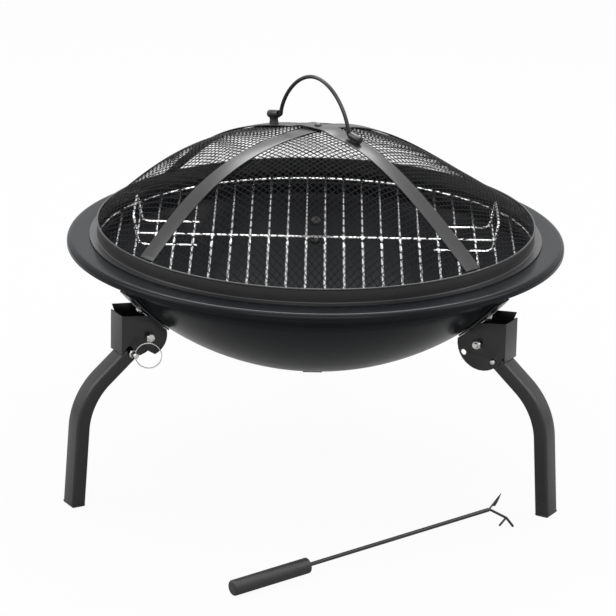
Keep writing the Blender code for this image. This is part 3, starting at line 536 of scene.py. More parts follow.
def piece(name, skin, body, slot, node, azimuth=0.0, crease=32.0, merge=True):
    """Makes a skin's mesh and shows it under the same name."""
    return show(name, skin.mesh(name, azimuth, crease, merge), body, slot, node)


def carved(ob, skin, azimuth):
    """Cuts a closed skin out of a piece and keeps the result as its mesh."""
    cutter = placed("cutter", skin.mesh("cutter", azimuth))
    mod = ob.modifiers.new("cut", "BOOLEAN")
    mod.operation, mod.solver, mod.object = "DIFFERENCE", "EXACT", cutter
    depsgraph = bpy.context.evaluated_depsgraph_get()
    made = bpy.data.meshes.new_from_object(ob.evaluated_get(depsgraph))
    ob.modifiers.clear()
    old = ob.data
    ob.data = shaded(made, 30)
    bpy.data.meshes.remove(old)
    bpy.data.objects.remove(cutter)


def eased(name, node, body, slot, width, folds=None):
    """A merged copy of a solid with its edges eased; edges picked by folds get a bend's radius."""
    bend = 2.0
    bm = bmesh.new()
    bm.from_mesh(frame["nodes"][node].data)
    bmesh.ops.remove_doubles(bm, verts=bm.verts, dist=1e-6)
    bmesh.ops.dissolve_limit(bm, angle_limit=math.radians(1.0), verts=bm.verts, edges=bm.edges)
    weight = bm.edges.layers.float.new("bevel_weight_edge")
    for e in bm.edges:
        if len(e.link_faces) == 2 and e.calc_face_angle(0.0) > math.radians(24):
            e[weight] = 1.0 if folds and folds(e) else width / bend
    me = bpy.data.meshes.new(name)
    bm.to_mesh(me)
    bm.free()
    ob = show(name, shaded(me), body, slot, node)
    mod = ob.modifiers.new("eased edges", "BEVEL")
    mod.limit_method, mod.width, mod.segments = "WEIGHT", bend * MM, 3
    mod.harden_normals = mod.use_clamp_overlap = True


# Lid's shape, shared by the mesh, the straps and the handle

def dome_height(x, y):
    """Height of the mesh at a place; rho is its distance over the dome's radius and a its angle.

    base + rise (1 - rho^power)^ease - lean sin(pi rho) cos(a - turn) + wave sin(2 pi rho) cos a"""
    s = bpy.context.scene.fire_bowl_lid
    radius, base, rise = mm(s, "dome_radius", "dome_base", "dome_rise")
    lean, wave = mm(s, "dome_lean", "dome_wave")
    rho = np.minimum(np.hypot(x, y) / radius, 1.0)
    a = np.arctan2(y, x)
    return (base + rise * (1 - rho ** s.dome_power) ** s.dome_ease
            - lean * np.sin(np.pi * rho) * np.cos(a - s.dome_lean_turn)
            + wave * np.sin(2 * np.pi * rho) * np.cos(a))


def strap_height(u, w, name):
    """Height of a strap's underside at u along it and w across it.

    The section is straight and tilts with the mesh under its two edges. The upper strap steps
    over the lower by step (1 - smoothstep), and step clears the lower one on the dome's slope."""
    s = bpy.context.scene.fire_bowl_lid
    a = math.radians(STRAP_AZ[name])
    lean, wave, radius = mm(s, "dome_lean", "dome_wave", "dome_radius")
    width, sheet = mm(s, "strap_width", "strap_sheet")
    c, s_ = math.cos(a), math.sin(a)
    left, right = (dome_height(u * c - v * s_, u * s_ + v * c) for v in (width / 2, -width / 2))
    z = (left + right) / 2 + (left - right) * w / width + STRAP_SEAT
    if name == "strap_upper":
        slope = math.hypot(lean * math.cos(s.dome_lean_turn) - 2 * wave,
                           lean * math.sin(s.dome_lean_turn))
        step = sheet + GAP + 1.5 * slope * math.pi / radius * width / 2
        t = np.clip((np.abs(u) - STEP_RUN[0]) / STEP_RUN[1], 0, 1)
        z = z + step * (1 - t * t * (3 - 2 * t))
    return z


# Pieces, each made by an operator

class FIREBOWL_OT_bowl(bpy.types.Operator):
    """Press the bowl: pan, collar, ledge, mouth wall and flat rim with its edge rolled down"""
    bl_idname = "fire_bowl.bowl"
    bl_label = "Bowl"
    bl_options = {"REGISTER", "UNDO"}

    def execute(self, context):
        s = context.scene.fire_bowl_bowl
        pan, sheet, collar, ledge = mm(s, "pan_radius", "sheet", "collar_radius", "ledge_height")
        mouth, crest, rim = mm(s, "mouth_radius", "crest_height", "rim_radius")
        roll, drop = mm(s, "rim_roll", "rim_drop")
        pan_gap, collar_foot, flat_gap, bend = 1.5, 3.5, 2.0, 2.4
        mid = pan - sheet / 2
        centre = BOWL_LOW.z / MM + pan
        edge = rim - sheet / 2
        t = np.linspace(0, math.asin((collar - pan_gap) / mid), 30)
        line = joined(mid * np.sin(t), centre - mid * np.cos(t))
        corners = [line[-1], (collar, line[-1, 1] + collar_foot), (collar, ledge), (mouth, ledge),
                   (mouth, crest), (edge - roll - flat_gap, crest)]
        over = arc((edge - roll, crest - roll), roll, 90, 0, 14)
        end = [(edge, crest - drop)]
        middle = np.concatenate([line, softened(corners, bend, 5)[1:], over, end])
        outline = walled(middle, sheet)
        outline[0, 0] = outline[-1, 0] = 0.0
        skin = Skin().grid(turned(outline, FINE))
        piece("bowl_shell", skin, "fire_pit", "bowl_coat", "fire_bowl", crease=40)
        return {"FINISHED"}


class FIREBOWL_OT_grate(bpy.types.Operator):
    """Weld the grate: a ring, a row of bars over it, a cross bar and small weld beads"""
    bl_idname = "fire_bowl.grate"
    bl_label = "Cooking grate"
    bl_options = {"REGISTER", "UNDO"}

    def execute(self, context):
        s = context.scene.fire_bowl_grate
        radius, ring, bar, pitch = mm(s, "ring_radius", "ring_wire", "bar_wire", "pitch")
        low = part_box("grate")[0]
        weld, bead_wide, bead_tall, bead_lift = 0.6, 2.6, 1.7, 0.2
        ring_z = low.z / MM + ring
        bar_z = ring_z + ring + bar - weld
        cross_z = bar_z + 2 * bar - weld
        circle = spun(radius, ring_z, around(224))
        skin = Skin().grid(tube(circle, ring, 12, closed=True), looped=True)
        xs = (np.arange(s.bar_count) - (s.bar_count - 1) / 2) * pitch
        chords = np.sqrt(radius ** 2 - xs ** 2)
        for x, chord in zip(xs, chords):
            half = chord + ring * 0.7
            line = [(x, y, bar_z) for y in np.linspace(-half, half, 6)]
            skin.capped(wire(line, bar, 10))
        half = xs[-1] - pitch + bar + 1.0
        line = [(x, 0, cross_z) for x in np.linspace(-half, half, 12)]
        skin.capped(wire(line, bar, 10))
        v = np.linspace(-np.pi / 2, np.pi / 2, 7)[:, None]
        bead = spun(bead_wide * np.cos(v), bead_tall * np.sin(v), around(10))
        for x in xs[1:-1]:
            skin.grid(bead + (x, 0, (bar_z + cross_z) / 2))
        for x, chord in zip(xs, chords):
            for side in (-1, 1):
                middle = (x, side * chord, (bar_z + ring_z) / 2 + bead_lift)
                skin.grid(bead + middle)
        piece("grate_wires", skin, "grate", "grate_chrome", "grate")
        return {"FINISHED"}


class FIREBOWL_OT_grate_handles(bpy.types.Operator):
    """Bend the two wire handles that stand on the grate"""
    bl_idname = "fire_bowl.grate_handles"
    bl_label = "Grate handles"
    bl_options = {"REGISTER", "UNDO"}

    def execute(self, context):
        s = context.scene.fire_bowl_grate
        half, bar, rise = mm(s, "handle_half", "bar_wire", "handle_rise")
        solid_bar, knee_run, bend = 2.0, 6.0, 9.0
        # the shown bars are thinner than the solid ones, so the feet come down to them
        sink = 2 * (solid_bar - bar)
        for name, side in (("left", -1), ("right", 1)):
            low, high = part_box("grate_handle_" + name)
            inner = min(abs(low.x), abs(high.x)) / MM
            outer = max(abs(low.x), abs(high.x)) / MM - bar
            top = low.z / MM + bar + rise
            foot = top - rise - sink
            arm = [(inner, half, foot), (outer - knee_run, half, foot), (outer, half, top)]
            path = softened(arm + [(x, -y, z) for x, y, z in reversed(arm)], bend, 7)
            skin = Skin().capped(wire(evened(path, 3.0) * (side, 1, 1), bar, 12, (0.2, 0.0, 1.0)))
            piece("grate_handle_wire_" + name, skin, "grate", "grate_chrome",
                  "grate_handle_" + name)
        return {"FINISHED"}


class FIREBOWL_OT_lid_band(bpy.types.Operator):
    """Roll the lid's band: a foot on the rim, an upright wall and a rolled upper edge"""
    bl_idname = "fire_bowl.lid_band"
    bl_label = "Lid band"
    bl_options = {"REGISTER", "UNDO"}

    def execute(self, context):
        s = context.scene.fire_bowl_lid
        band, foot_z, top, foot = mm(s, "band_radius", "band_foot", "band_top", "foot_radius")
        wall, bend, foot_gap, stop, bead, bead_in = 1.4, 1.8, 0.3, 1.6, 1.15, 0.35
        x, z = band - wall / 2, foot_z + wall / 2
        middle = softened([(foot - foot_gap, z), (x, z), (x, top - stop)], bend, 6)
        outline = walled(middle, wall)
        half = len(outline) // 2
        rolled = arc((band - bead_in, top - bead), bead, 240, -60, 16)
        loop = np.concatenate([outline[:half], rolled, outline[half:]])
        skin = Skin().grid(turned(loop, FINE), looped=True)
        piece("lid_band", skin, "lid", "black_coat", "lid_ring", crease=45)
        return {"FINISHED"}


class FIREBOWL_OT_lid_mesh(bpy.types.Operator):
    """Expand the lid's fine mesh: slanted strands between the knots of a staggered lattice"""
    bl_idname = "fire_bowl.lid_mesh"
    bl_label = "Lid mesh"
    bl_options = {"REGISTER", "UNDO"}

    def execute(self, context):
        s = context.scene.fire_bowl_lid
        wide, high, radius = mm(s, "cell_width", "cell_height", "dome_radius")
        edge_gap = 0.6
        edge = radius - edge_gap
        rows = int(edge / (high / 2)) + 1
        columns = int(edge / wide) + 1
        j, i = np.mgrid[-rows:rows + 1, -columns:columns + 1]
        start = joined((i + 0.5 * (j % 2)) * wide, j * high / 2).reshape(-1, 2)
        upper, lower = STRAP_AZ["strap_upper"], STRAP_AZ["strap_lower"]
        angle = np.degrees(np.arctan2(start[:, 1], start[:, 0])) % 360
        sector = np.searchsorted((lower, upper, lower + 180, upper + 180), angle, side="right") - 1
        sector %= 4
        for k, name in enumerate(("rear", "left", "front", "right")):
            skin = Skin()
            for way in (1, -1):
                self.strands(skin, start[sector == k], way, s, edge)
            piece("lid_mesh_" + name, skin, "lid", "mesh_coat", "lid_mesh", merge=False, crease=50)
        return {"FINISHED"}

    def strands(self, skin, start, way, s, edge):
        """Bars that swing from bond to bond as y = rise smoothstep(x), cut off at radius edge.

        Each section is a leaning rectangle, so one edge stands proud, as in expanded sheet."""
        wide, high, width, depth = mm(s, "cell_width", "cell_height", "strand", "strand_depth")
        bond, lean = 0.4 * width, 0.35
        f = np.array([0.0, 0.2, 0.5, 0.8, 1.0])
        lift = bond + (high / 2 - 2 * bond) * f * f * (3 - 2 * f)
        x, y = start[:, :1] + way * wide / 2 * f, start[:, 1:] + lift
        far = np.hypot(x, y)
        inside = far.min(1) < edge
        far = np.maximum(far[inside], 1e-6)[..., None]
        path = joined(x, y)[inside] * np.minimum(1.0, edge / far)
        side = square(unit(np.gradient(path, axis=1) + 1e-9)) * width / 2
        ring = []
        for across, over in ((-1, -1), (1, -1), (1, 1), (-1, 1)):
            x, y = np.moveaxis(path + side * across, -1, 0)
            z = dome_height(x, y) + (over * 0.5 + across * way * lean) * depth - depth
            ring.append(joined(x, y, z))
        points = np.stack(ring, 2)
        n, m = points.shape[:2]
        k = (np.arange(n * m * 4) + skin.count).reshape(n, m, 4)
        a, b = k[:, :-1], k[:, 1:]
        faces = np.stack([a, b, np.roll(b, -1, 2), np.roll(a, -1, 2)], -1)
        skin.points.append(points.reshape(-1, 3))
        skin.faces.append(faces.reshape(-1, 4)[:, ::way])
        skin.faces.append(np.concatenate([k[:, 0, ::-1], k[:, -1]])[:, ::way])
        skin.count += n * m * 4


class FIREBOWL_OT_straps(bpy.types.Operator):
    """Lay the two flat straps over the dome, the upper one stepping over the lower"""
    bl_idname = "fire_bowl.straps"
    bl_label = "Lid straps"
    bl_options = {"REGISTER", "UNDO"}

    def execute(self, context):
        s = context.scene.fire_bowl_lid
        width, sheet, radius = mm(s, "strap_width", "strap_sheet", "dome_radius")
        end_gap, corner = 0.6, 0.55
        reach = math.sqrt(radius ** 2 - (width / 2) ** 2) - end_gap
        u = np.linspace(-reach, reach, 150)[:, None]
        w, h = softened([(0, 0), (width / 2, 0), (width / 2, sheet), (-width / 2, sheet),
                         (-width / 2, 0), (0, 0)], corner, 4)[:-1].T
        for name, azimuth in STRAP_AZ.items():
            skin = Skin().capped(joined(u, w, strap_height(u, w, name) + h))
            piece(name + "_band", skin, "lid", "black_coat", name, azimuth, crease=50)
        return {"FINISHED"}


class FIREBOWL_OT_lid_handle(bpy.types.Operator):
    """Bend the lid's bail, turn its two barrels and set the rivet at the crown"""
    bl_idname = "fire_bowl.lid_handle"
    bl_label = "Lid handle"
    bl_options = {"REGISTER", "UNDO"}

    def execute(self, context):
        azimuth = STRAP_AZ["strap_upper"]
        s = context.scene.fire_bowl_lid
        start, thick, shift = mm(s, "barrel_start", "bail_wire", "bail_shift")
        clear, lift, stub, bend, power_r, power_z = 1.2, 3.4, 7.2, 2.6, 1.03, 1.34
        inside = start - thick - clear
        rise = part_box("bail")[1].z / MM - thick - BAIL_Z
        a = np.linspace(0, np.pi / 2, 60)
        arch = joined(inside * np.cos(a) ** power_r,
                      BAIL_Z + lift + (rise - lift) * np.sin(a) ** power_z)
        foot = softened([(start + stub, BAIL_Z), (inside + 0.2, BAIL_Z), tuple(arch[3])], bend, 6)
        right = np.concatenate([foot[:-1], arch[3:]])
        full = np.concatenate([right, right[::-1][1:] * (-1, 1)])
        path = evened(joined(full[:, 0] + shift, 0, full[:, 1]), 1.4)
        skin = Skin().capped(wire(path, thick, 18, (0, 1, 0)))
        piece("bail_wire", skin, "bail", "black_coat", "bail", azimuth)
        for name, side in (("rear", 1), ("front", -1)):
            self.barrel("bail_socket_" + name, side, azimuth, start, shift)
        self.rivet()
        return {"FINISHED"}

    def barrel(self, name, side, azimuth, start, shift):
        """Bored barrel with eased rims that dips away from the bail.

        It stands on a pedestal whose section is a superellipse of power 0.4."""
        outer, bore, run, level = 4.4, 2.5, 16.0, 8.0
        inset, wide, seat, sunk, power = 2.6, 3.6, 1.6 + 0.35, 2.6, 0.4
        dip = math.radians(11.5)
        profile = [(0, level), (bore, level), (bore, 0.35), (bore + 0.35, 0.0), (outer - 0.8, 0.0),
                   (outer - 0.22, 0.22), (outer, 0.8), (outer, run - 0.9),
                   (outer - 0.25, run - 0.25), (outer - 0.9, run), (0, run + 0.3)]
        way = np.array([side * math.cos(dip), 0, -math.sin(dip)])
        origin = np.array([shift + side * start, 0, BAIL_Z + level / 2 * math.tan(dip)])
        skin = Skin().grid(aimed(turned(profile, 36), origin, way))
        c, s = np.cos(around(40)), np.sin(around(40))
        mid = shift + side * (start + run / 2)
        u = mid + np.sign(c) * np.abs(c) ** power * (run / 2 - inset)
        w = np.sign(s) * np.abs(s) ** power * wide
        ground = strap_height(u, w, "strap_upper") + seat
        top = BAIL_Z - ((u - shift) * side - start - level / 2) * math.tan(dip) - sunk
        rows = []
        for f in (0.0, 0.1, 0.3, 0.6, 1.0):
            waist = math.sin(math.pi * f)
            rows.append(joined(mid + (u - mid) * (1 - 0.10 * waist), w * (1 - 0.25 * waist),
                               ground + (top - ground) * f))
        skin.capped(np.array(rows))
        piece(name + "_barrel", skin, "lid", "black_coat", name, azimuth)

    def rivet(self):
        """Domed head and tail on a shank through both straps."""
        low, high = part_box("apex_rivet")
        shank, head_tall, tail_tall = 2.0, 2.0, 1.4
        neck, foot = high.z / MM - head_tall, low.z / MM + tail_tall
        head = (high.x - low.x) / 2 / MM
        dome = arc((0, neck), (head, head_tall), 90, 0, 8)
        tail = arc((0, foot), (head, tail_tall), 0, -90, 8)
        profile = np.concatenate([dome, [(shank, neck), (shank, foot)], tail])
        skin = Skin().grid(turned(profile, 28))
        piece("apex_rivet_head", skin, "lid", "black_coat", "apex_rivet")


class FIREBOWL_OT_brackets(bpy.types.Operator):
    """Fold the channel brackets and saddles: copies of the solids with bends and eased edges"""
    bl_idname = "fire_bowl.brackets"
    bl_label = "Brackets"
    bl_options = {"REGISTER", "UNDO"}

    def execute(self, context):
        axis, near = Vector((0, AXIS_Y, 0)), 0.0004
        for leg, azimuth in LEGS:
            a = math.radians(azimuth)
            out = Vector((math.cos(a), math.sin(a), 0))
            along = Vector((-math.sin(a), math.cos(a), 0))
            corners = [v.co - axis for v in frame["nodes"]["bracket_" + leg].data.vertices]
            far = max(q.dot(out) for q in corners)
            wide = max(abs(q.dot(along)) for q in corners)

            def folds(e, out=out, along=along, far=far, wide=wide):
                """Whether an edge lies where the web turns into a cheek."""
                ends = [v.co - axis for v in e.verts]
                return all(far - q.dot(out) < near and wide - abs(q.dot(along)) < near
                           for q in ends)
            eased("bracket_channel_" + leg, "bracket_" + leg, "fire_pit", "black_coat", 0.4, folds)
            eased("saddle_plate_" + leg, "saddle_" + leg, "fire_pit", "black_coat", 0.4)
        return {"FINISHED"}


class FIREBOWL_OT_bolts(bpy.types.Operator):
    """Turn the bolts and nuts: hexagons cut down by a turned chamfer, with threads"""
    bl_idname = "fire_bowl.bolts"
    bl_label = "Bolts"
    bl_options = {"REGISTER", "UNDO"}

    def execute(self, context):
        pan = mm(context.scene.fire_bowl_bowl, "pan_radius")
        centre = BOWL_LOW.z / MM + pan
        for leg, azimuth in LEGS:
            for level in ("upper", "lower"):
                self.mount_bolt("mount_bolt_%s_%s" % (level, leg), azimuth, centre, pan)
            self.pivot(leg, azimuth)
        return {"FINISHED"}

    def mount_bolt(self, node, azimuth, centre, pan):
        """Domed head inside the bowl, thread through the saddle and a chamfered nut outside."""
        low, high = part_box(node)
        mid = (low + high) / 2
        r = math.hypot(mid.x, mid.y - AXIS_Y) / MM
        angle = math.atan2(mid.z / MM - centre, r)
        way = np.array([math.cos(angle), 0, math.sin(angle)])
        origin = np.array([0, 0, centre])

        def at(radius):
            """The place on the bolt's line at a distance from the sphere's middle."""
            return origin + way * radius
        sheet, crown, tall, head_r, shank = 1.2, 0.9, 2.4, 6.0, 2.8
        dome = arc((0, 0), (head_r, tall), -90, 0, 8)
        head = np.concatenate([dome, [(head_r - 0.4, 0.0), (shank, 0.0), (shank, 6.0)]])
        inner = pan - sheet - GAP - crown
        skin = Skin().grid(aimed(turned(head, 28), at(inner), way))
        piece(node + "_head", skin, "fire_pit", "black_coat", node, azimuth)
        outside = pan + GAP + SADDLE + GAP
        flats, sunk, thread = 9.0, 2.9, 6.6
        nut = [(0, 0), (4.4, 0), (5.3, 0.5), (5.3, 2.5), (4.4, 3.0), (3.2, 3.0), (0, 2.9)]
        skin = Skin().grid(aimed(hexed(nut, flats), at(outside), way))
        skin.capped(aimed(threaded(BOLT_R, thread), at(outside - sunk), way))
        piece(node + "_thread", skin, "fire_pit", "zinc", node, azimuth)

    def pivot(self, leg, azimuth):
        """Hexagon head on the lobe side, thread and locking nut on the disc side."""
        face, tail, way = CHANNEL_HALF + GAP, 7.0, (0, 1, 0)
        head_flats, nut_flats = 9.6, 10.0
        head = [(0, 4.0), (3.6, 4.0), (4.4, 3.85), (5.7, 3.2), (5.7, 0.6), (5.0, 0.3), (5.0, 0),
                (0, 0)]
        skin = Skin().grid(aimed(hexed(head, head_flats), (PIVOT_R, face, PIVOT_Z), way))
        skin.capped(aimed(threaded(BOLT_R, tail), (PIVOT_R, -face - tail, PIVOT_Z), way))
        shank = turned([(BOLT_R, 0.0), (BOLT_R, 2 * face)], 24)
        skin.capped(aimed(shank, (PIVOT_R, -face, PIVOT_Z), way))
        piece("pivot_bolt_turned_" + leg, skin, "fire_pit", "zinc", "pivot_bolt_" + leg, azimuth)
        nut = [(3.25, 0), (4.9, 0), (5.9, 0.55), (5.9, 3.2), (4.9, 3.7), (4.6, 4.3), (4.1, 4.6),
               (3.25, 4.6), (3.25, 0)]
        nut = aimed(hexed(nut, nut_flats), (PIVOT_R, -face, PIVOT_Z), (0, -1, 0))
        skin = Skin().grid(nut)
        piece("pivot_nut_turned_" + leg, skin, "fire_pit", "zinc", "pivot_nut_" + leg, azimuth)


def lock_centre():
    """Place of the lock pin in a leg's plane: the arm from the pivot at the tube's slope."""
    a = math.radians(-TUBE_SLOPE)
    return PIVOT_R + LOCK_ARM * math.cos(a), PIVOT_Z + LOCK_ARM * math.sin(a)


class FIREBOWL_OT_legs(bpy.types.Operator):
    """Draw the curved box legs: a rounded rectangle carried along straight, bend and straight"""
    bl_idname = "fire_bowl.legs"
    bl_label = "Legs"
    bl_options = {"REGISTER", "UNDO"}

    def execute(self, context):
        deep, wall, pad, bend, stub = 16.4, 1.5, 3.0, 78.0, 8.0
        slope, steep = math.radians(TUBE_SLOPE), math.radians(86.2)
        pivot = np.array([PIVOT_R, PIVOT_Z])
        foot = np.array([(FOOT_LOW.y + FOOT_HIGH.y) / 2 / MM - AXIS_Y / MM, 0.0])
        d0 = np.array([math.cos(slope), -math.sin(slope)])
        d1 = np.array([math.cos(steep), -math.sin(steep)])
        span = foot - pivot
        run = (span[0] * d1[1] - span[1] * d1[0]) / (d0[0] * d1[1] - d0[1] * d1[0])
        end = foot - d1 * pad / abs(d1[1])
        path = softened([pivot - d0 * stub, pivot + d0 * run, end], bend, 28)
        normal = square(unit(np.gradient(path, axis=0)))
        normal[-1] = (1.0 / abs(d1[1]), 0.0)
        loops = []
        for inset, corner in ((0.0, 2.6), (wall, 1.3)):
            w, d = TUBE_WIDE / 2 - inset, deep / 2 - inset
            ring = softened([(0, d), (w, d), (w, -d), (-w, -d), (-w, d), (0, d)], corner, 5)[:-1]
            flat = path[:, None] + normal[:, None] * ring[:, 1:]
            loops.append(joined(flat[..., 0], ring[:, 0], flat[..., 1]))
        outer, inner = loops
        skin = Skin().grid(np.concatenate([outer, inner[::-1], outer[:1]]))
        cut = self.slot()
        for leg, azimuth in LEGS:
            ob = piece("leg_tube_" + leg, skin, "leg_body_" + leg, "black_coat", "leg_" + leg,
                       azimuth)
            carved(ob, cut, azimuth)
            eased("foot_cap_" + leg, "foot_" + leg, "leg_body_" + leg, "foot_plastic", 0.7)
        return {"FINISHED"}

    def slot(self):
        """Prism through a leg: an arc about the pivot with a round end at the pin."""
        hole, stop, middle = 3.4, -3.6, (PIVOT_R, PIVOT_Z)
        x, z = np.concatenate([
            arc(middle, LOCK_ARM + hole, -TUBE_SLOPE, stop, 14),
            arc(middle, LOCK_ARM - hole, stop, -TUBE_SLOPE, 14),
            arc(lock_centre(), hole, 180 - TUBE_SLOPE, 360 - TUBE_SLOPE, 9)[1:-1]]).T
        return Skin().capped([joined(x, y, z) for y in (-TUBE_WIDE, TUBE_WIDE)])


class FIREBOWL_OT_lock_pins(bpy.types.Operator):
    """Turn the lock pins and wind the split pull rings"""
    bl_idname = "fire_bowl.lock_pins"
    bl_label = "Lock pins"
    bl_options = {"REGISTER", "UNDO"}

    def execute(self, context):
        r, z = lock_centre()
        shank, flange, stem, eye_hole = 3.1, 4.6, 3.4, 1.55
        inner_face, body, cap, nose = 12.1, 5.8, 4.0, 4.0
        y0 = TUBE_WIDE / 2 + GAP
        tip, back = -CHANNEL_HALF - nose, inner_face + body + cap
        profile = [(0, tip), (1.2, tip), (2.2, tip + 0.3), (2.9, tip + 1.2), (shank, tip + 2.0),
                   (shank, y0), (flange - 0.2, y0), (flange, y0 + 0.2), (flange, y0 + 1.4),
                   (flange - 0.2, y0 + 1.6), (stem, y0 + 1.9), (stem, back - 1.2),
                   (3.1, back - 0.5), (2.4, back), (0, back)]
        pin = Skin().grid(aimed(turned(profile, 32), (r, 0, z), (0, 1, 0)))
        eye = swung(joint_point("ring_swing_left"), -LEGS[0][1])
        hole = Skin().capped(turned([(eye_hole, -8.0), (eye_hole, 8.0)], 20) + eye)
        ring = self.pull_ring(eye)
        for leg, azimuth in LEGS:
            ob = piece("lock_pin_turned_" + leg, pin, "pin_body_" + leg, "zinc",
                       "lock_pin_" + leg, azimuth)
            carved(ob, hole, azimuth)
            piece("pull_ring_coil_" + leg, ring, "ring_body_" + leg, "zinc", "pull_ring_" + leg,
                  azimuth)
        return {"FINISHED"}

    def pull_ring(self, eye):
        """Split ring: nearly two turns of wire that change sides by a tanh step."""
        thick, big, turns = 0.52, 14.6, 1.96
        a = math.radians(150.0)
        out, up = np.array([math.cos(a), math.sin(a), 0]), np.array([0, 0, 1.0])
        off = np.cross(out, up)
        t = np.linspace(0.12, 2 * np.pi * turns, 120)[:, None]
        path = (eye + out * big - out * (big * np.cos(t)) + up * (big * np.sin(t))
                + off * (thick * np.tanh((t - t.mean()) * 1.6)))
        return Skin().capped(wire(path, thick, 8, off))


class FIREBOWL_OT_poker(bpy.types.Operator):
    """Forge the poker: rod, barbed blade and rake, with a pushed-on grip"""
    bl_idname = "fire_bowl.poker"
    bl_label = "Poker"
    bl_options = {"REGISTER", "UNDO"}

    def execute(self, context):
        start, azimuth, reach, grip_len, socket = (-80.6, -400.8), 34.1, 334.0, 96.0, 30.0
        grip, rod, branch_r, tine_r = 8.6, 2.2, 1.4, 1.2
        branch, front, back = (23.5, -16.4), (32.6, -29.3), (13.4, -23.3)
        tilt = math.atan2(grip + front[1] - tine_r, reach + front[0])
        c, s = math.cos(tilt), math.sin(tilt)

        def laid(p):
            """Turns points along the rod onto the ground: pitch by the tilt, then the azimuth."""
            x, y, z = np.moveaxis(np.asarray(p, float), -1, 0)
            return swung(joined(x * c + z * s, y, -x * s + z * c), azimuth) + (*start, grip * c)

        def iron(points, radius):
            return laid(wire(evened(points, 2.5), radius, 14, (0, 1, 0)))

        def at(p):
            """A place in the fork's plane, counted from the rod's end."""
            return (reach + p[0], 0.0, p[1])
        skin = Skin().capped(iron([(grip_len - socket + 1, 0, 0), (reach + 1.0, 0, 0)], rod))
        hook = softened([(reach - 3, 0, 0), at((1.0, -0.2)), at(branch), at(front)], 3.0, 6)
        skin.capped(iron(hook, branch_r))
        skin.capped(iron([at((branch[0] - 0.6, branch[1] + 0.4)), at(back)], tine_r))
        skin.capped(laid(self.blade(reach)))
        piece("poker_iron", skin, "poker", "black_coat", "poker_rod")
        nose, heel, wall, play = 2.6, 1.8, 1.2, 0.3
        front_cap = arc((grip - nose, nose), nose, -90, 0, 7)
        back_cap = arc((grip - heel, grip_len - heel), heel, 0, 90, 7)
        bore = [(rod + wall, grip_len), (rod + play, grip_len - 0.9),
                (rod + play, grip_len - socket), (0, grip_len - socket)]
        profile = np.concatenate([[(0, 0)], front_cap, back_cap, bore])
        skin = Skin().grid(laid(turned(profile, 40)[..., [2, 1, 0]] * (1, 1, -1)))
        piece("poker_handle", skin, "poker", "grip_plastic", "poker_grip")
        return {"FINISHED"}

    def blade(self, reach):
        """Barbed blade: a spine with a barb below that thins to a point."""
        f = np.linspace(0, 1, 26)[:, None]
        normal = np.array([0.655, -0.756])
        upper = 0.95 * (1 - f) ** 0.6 + 0.05
        lower = np.interp(f, [0, 0.18, 0.25, 0.32, 0.5, 0.72, 1.0],
                          [0.95, 0.95, 2.2, 4.3, 3.7, 2.3, 0.05])
        t = around(16)
        side = np.where(np.cos(t) < 0, upper, lower) * np.cos(t)
        thick = np.minimum(1.0, 0.25 + 3.0 * (1 - f)) * np.sin(t)
        return joined(reach + 0.4 + 16.6 * f + side * normal[0], thick,
                      0.6 + 14.4 * f + side * normal[1])


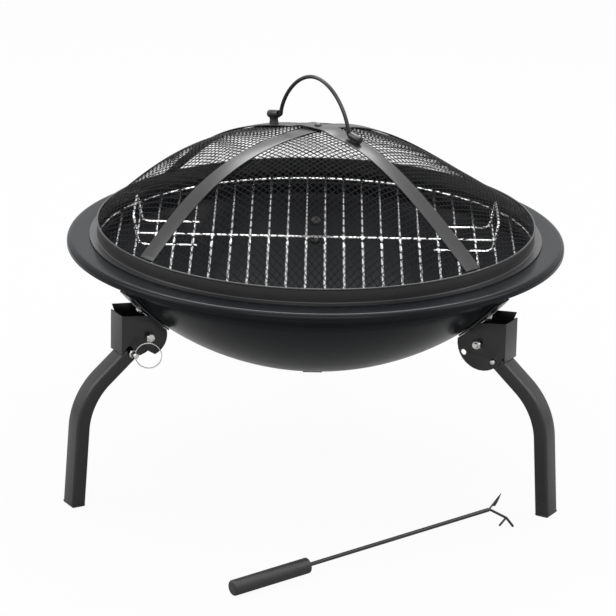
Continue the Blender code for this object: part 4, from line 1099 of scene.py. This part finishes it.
class FIREBOWL_OT_stage(bpy.types.Operator):
    """Set the pale floor, the soft lamps and the camera"""
    bl_idname = "fire_bowl.stage"
    bl_label = "Stage"
    bl_options = {"REGISTER", "UNDO"}

    def execute(self, context):
        me = bpy.data.meshes.new("floor")
        half, depth = 30.0, -0.0004
        corners = [(x * half, y * half, depth) for x, y in ((-1, -1), (1, -1), (1, 1), (-1, 1))]
        me.from_pydata(corners, [], [(0, 1, 2, 3)])
        floor = placed("floor", me)
        me.materials.append(self.floor_paint())
        self.world(context.scene)
        for name, place, aim, size, watts in (
                ("lamp_left", (-2.4, -0.2, 2.1), (0, 0, 0.25), (1.6, 1.8), 36.0),
                ("lamp_right", (2.4, 0.0, 2.1), (0, 0, 0.25), (1.5, 1.8), 34.0),
                ("lamp_top", (0, 0.6, 2.9), (0, 0.1, 0.25), (2.6, 2.6), 58.0),
                ("lamp_front", (0, -2.3, 2.3), (0, 0, 0.25), (3.0, 1.3), 46.0),
                ("lamp_back", (0, 1.9, 2.3), (0, 0, 0.35), (1.7, 0.9), 42.0)):
            lamp = bpy.data.lights.new(name, "AREA")
            lamp.shape, lamp.energy = "RECTANGLE", watts
            lamp.size, lamp.size_y = size
            ob = placed(name, lamp)
            ob.location = place
            ob.rotation_euler = (Vector(aim) - Vector(place)).to_track_quat("-Z", "Y").to_euler()
        cam = bpy.data.cameras.new("camera")
        cam.lens, cam.sensor_width, cam.sensor_fit = 214.8, 36.0, "HORIZONTAL"
        cam.clip_start, cam.clip_end = 0.1, 100.0
        ob = placed("camera", cam)
        place, tilt, roll = (-0.0070, AXIS_Y - 3.94845, 1.5282), 71.2, 1.2
        ob.matrix_world = (Matrix.Translation(place) @ Matrix.Rotation(math.radians(tilt), 4, "X")
                           @ Matrix.Rotation(math.radians(roll), 4, "Z"))
        context.scene.camera = ob
        context.scene.view_settings.view_transform = "Standard"
        return {"FINISHED"}

    def floor_paint(self):
        """Matt floor that keeps a soft shadow and shows near white to the eye and in gloss."""
        f = Finish("pale_floor")
        f.set(Base_Color=(0.5, 0.5, 0.5), Roughness=0.9, Specular_IOR_Level=0.1)
        path = f.node("LightPath")
        seen = path.out("Is Camera Ray") + path.out("Is Transmission Ray")
        glow = f.node("Emission", {"Color": (1.0, 1.0, 1.0), "Strength": 1.0})
        mix = f.node("MixShader", {0: seen * 0.95 + path.out("Is Glossy Ray") * 0.1,
                                   1: Flow(f, f.shader.outputs[0]), 2: glow.out()})
        f.put(f.tree.nodes["Material Output"].inputs["Surface"], mix.out())
        return f.material

    def world(self, scene):
        """White to the eye; soft grey light for everything else."""
        world = bpy.data.worlds.new("studio")
        world.use_nodes = True
        scene.world = world
        g = Graph(world.node_tree)
        path = g.node("LightPath")
        rays = [path.out("Is %s Ray" % kind) for kind in ("Camera", "Transmission", "Glossy")]
        seen = rays[0] + (rays[1] + rays[2])
        level = g.node("MapRange", {"Value": seen, "To Min": 0.18, "To Max": 1.0}).out()
        shine = g.tree.nodes["Background"]
        g.put(shine.inputs["Strength"], level)
        g.put(shine.inputs["Color"], (1.0, 1.0, 1.0))


OPERATORS = (
    FIREBOWL_OT_bowl, FIREBOWL_OT_grate, FIREBOWL_OT_grate_handles, FIREBOWL_OT_lid_band,
    FIREBOWL_OT_lid_mesh, FIREBOWL_OT_straps, FIREBOWL_OT_lid_handle, FIREBOWL_OT_brackets,
    FIREBOWL_OT_bolts, FIREBOWL_OT_legs, FIREBOWL_OT_lock_pins, FIREBOWL_OT_poker,
    FIREBOWL_OT_stage)


class FIREBOWL_PT_panel(bpy.types.Panel):
    """Lists the steps that build the fire bowl"""
    bl_label = "Fire Bowl"
    bl_idname = "FIREBOWL_PT_panel"
    bl_space_type = "VIEW_3D"
    bl_region_type = "UI"
    bl_category = "Fire Bowl"

    def draw(self, context):
        for op in OPERATORS:
            self.layout.operator(op.bl_idname)
        for group_name in GROUPS:
            group = getattr(context.scene, group_name)
            for key in group.bl_rna.properties.keys():
                if key not in {"rna_type", "name"}:
                    self.layout.prop(group, key)


GROUPS = {"fire_bowl_bowl": BowlSizes, "fire_bowl_lid": LidSizes, "fire_bowl_grate": GrateSizes,
          "fire_bowl_colours": FinishColours}


def register():
    """Adds the property groups, the operators and the panel."""
    for key, group in GROUPS.items():
        bpy.utils.register_class(group)
        setattr(bpy.types.Scene, key, bpy.props.PointerProperty(type=group))
    for cls in OPERATORS + (FIREBOWL_PT_panel,):
        bpy.utils.register_class(cls)


def unregister():
    """Takes them away in the opposite order."""
    for cls in reversed(OPERATORS + (FIREBOWL_PT_panel,)):
        bpy.utils.unregister_class(cls)
    for key, group in GROUPS.items():
        delattr(bpy.types.Scene, key)
        bpy.utils.unregister_class(group)


def main():
    """Builds every piece in order."""
    register()
    for op in OPERATORS:
        group, name = op.bl_idname.split(".")
        getattr(getattr(bpy.ops, group), name)()


if __name__ == "__main__":
    main()
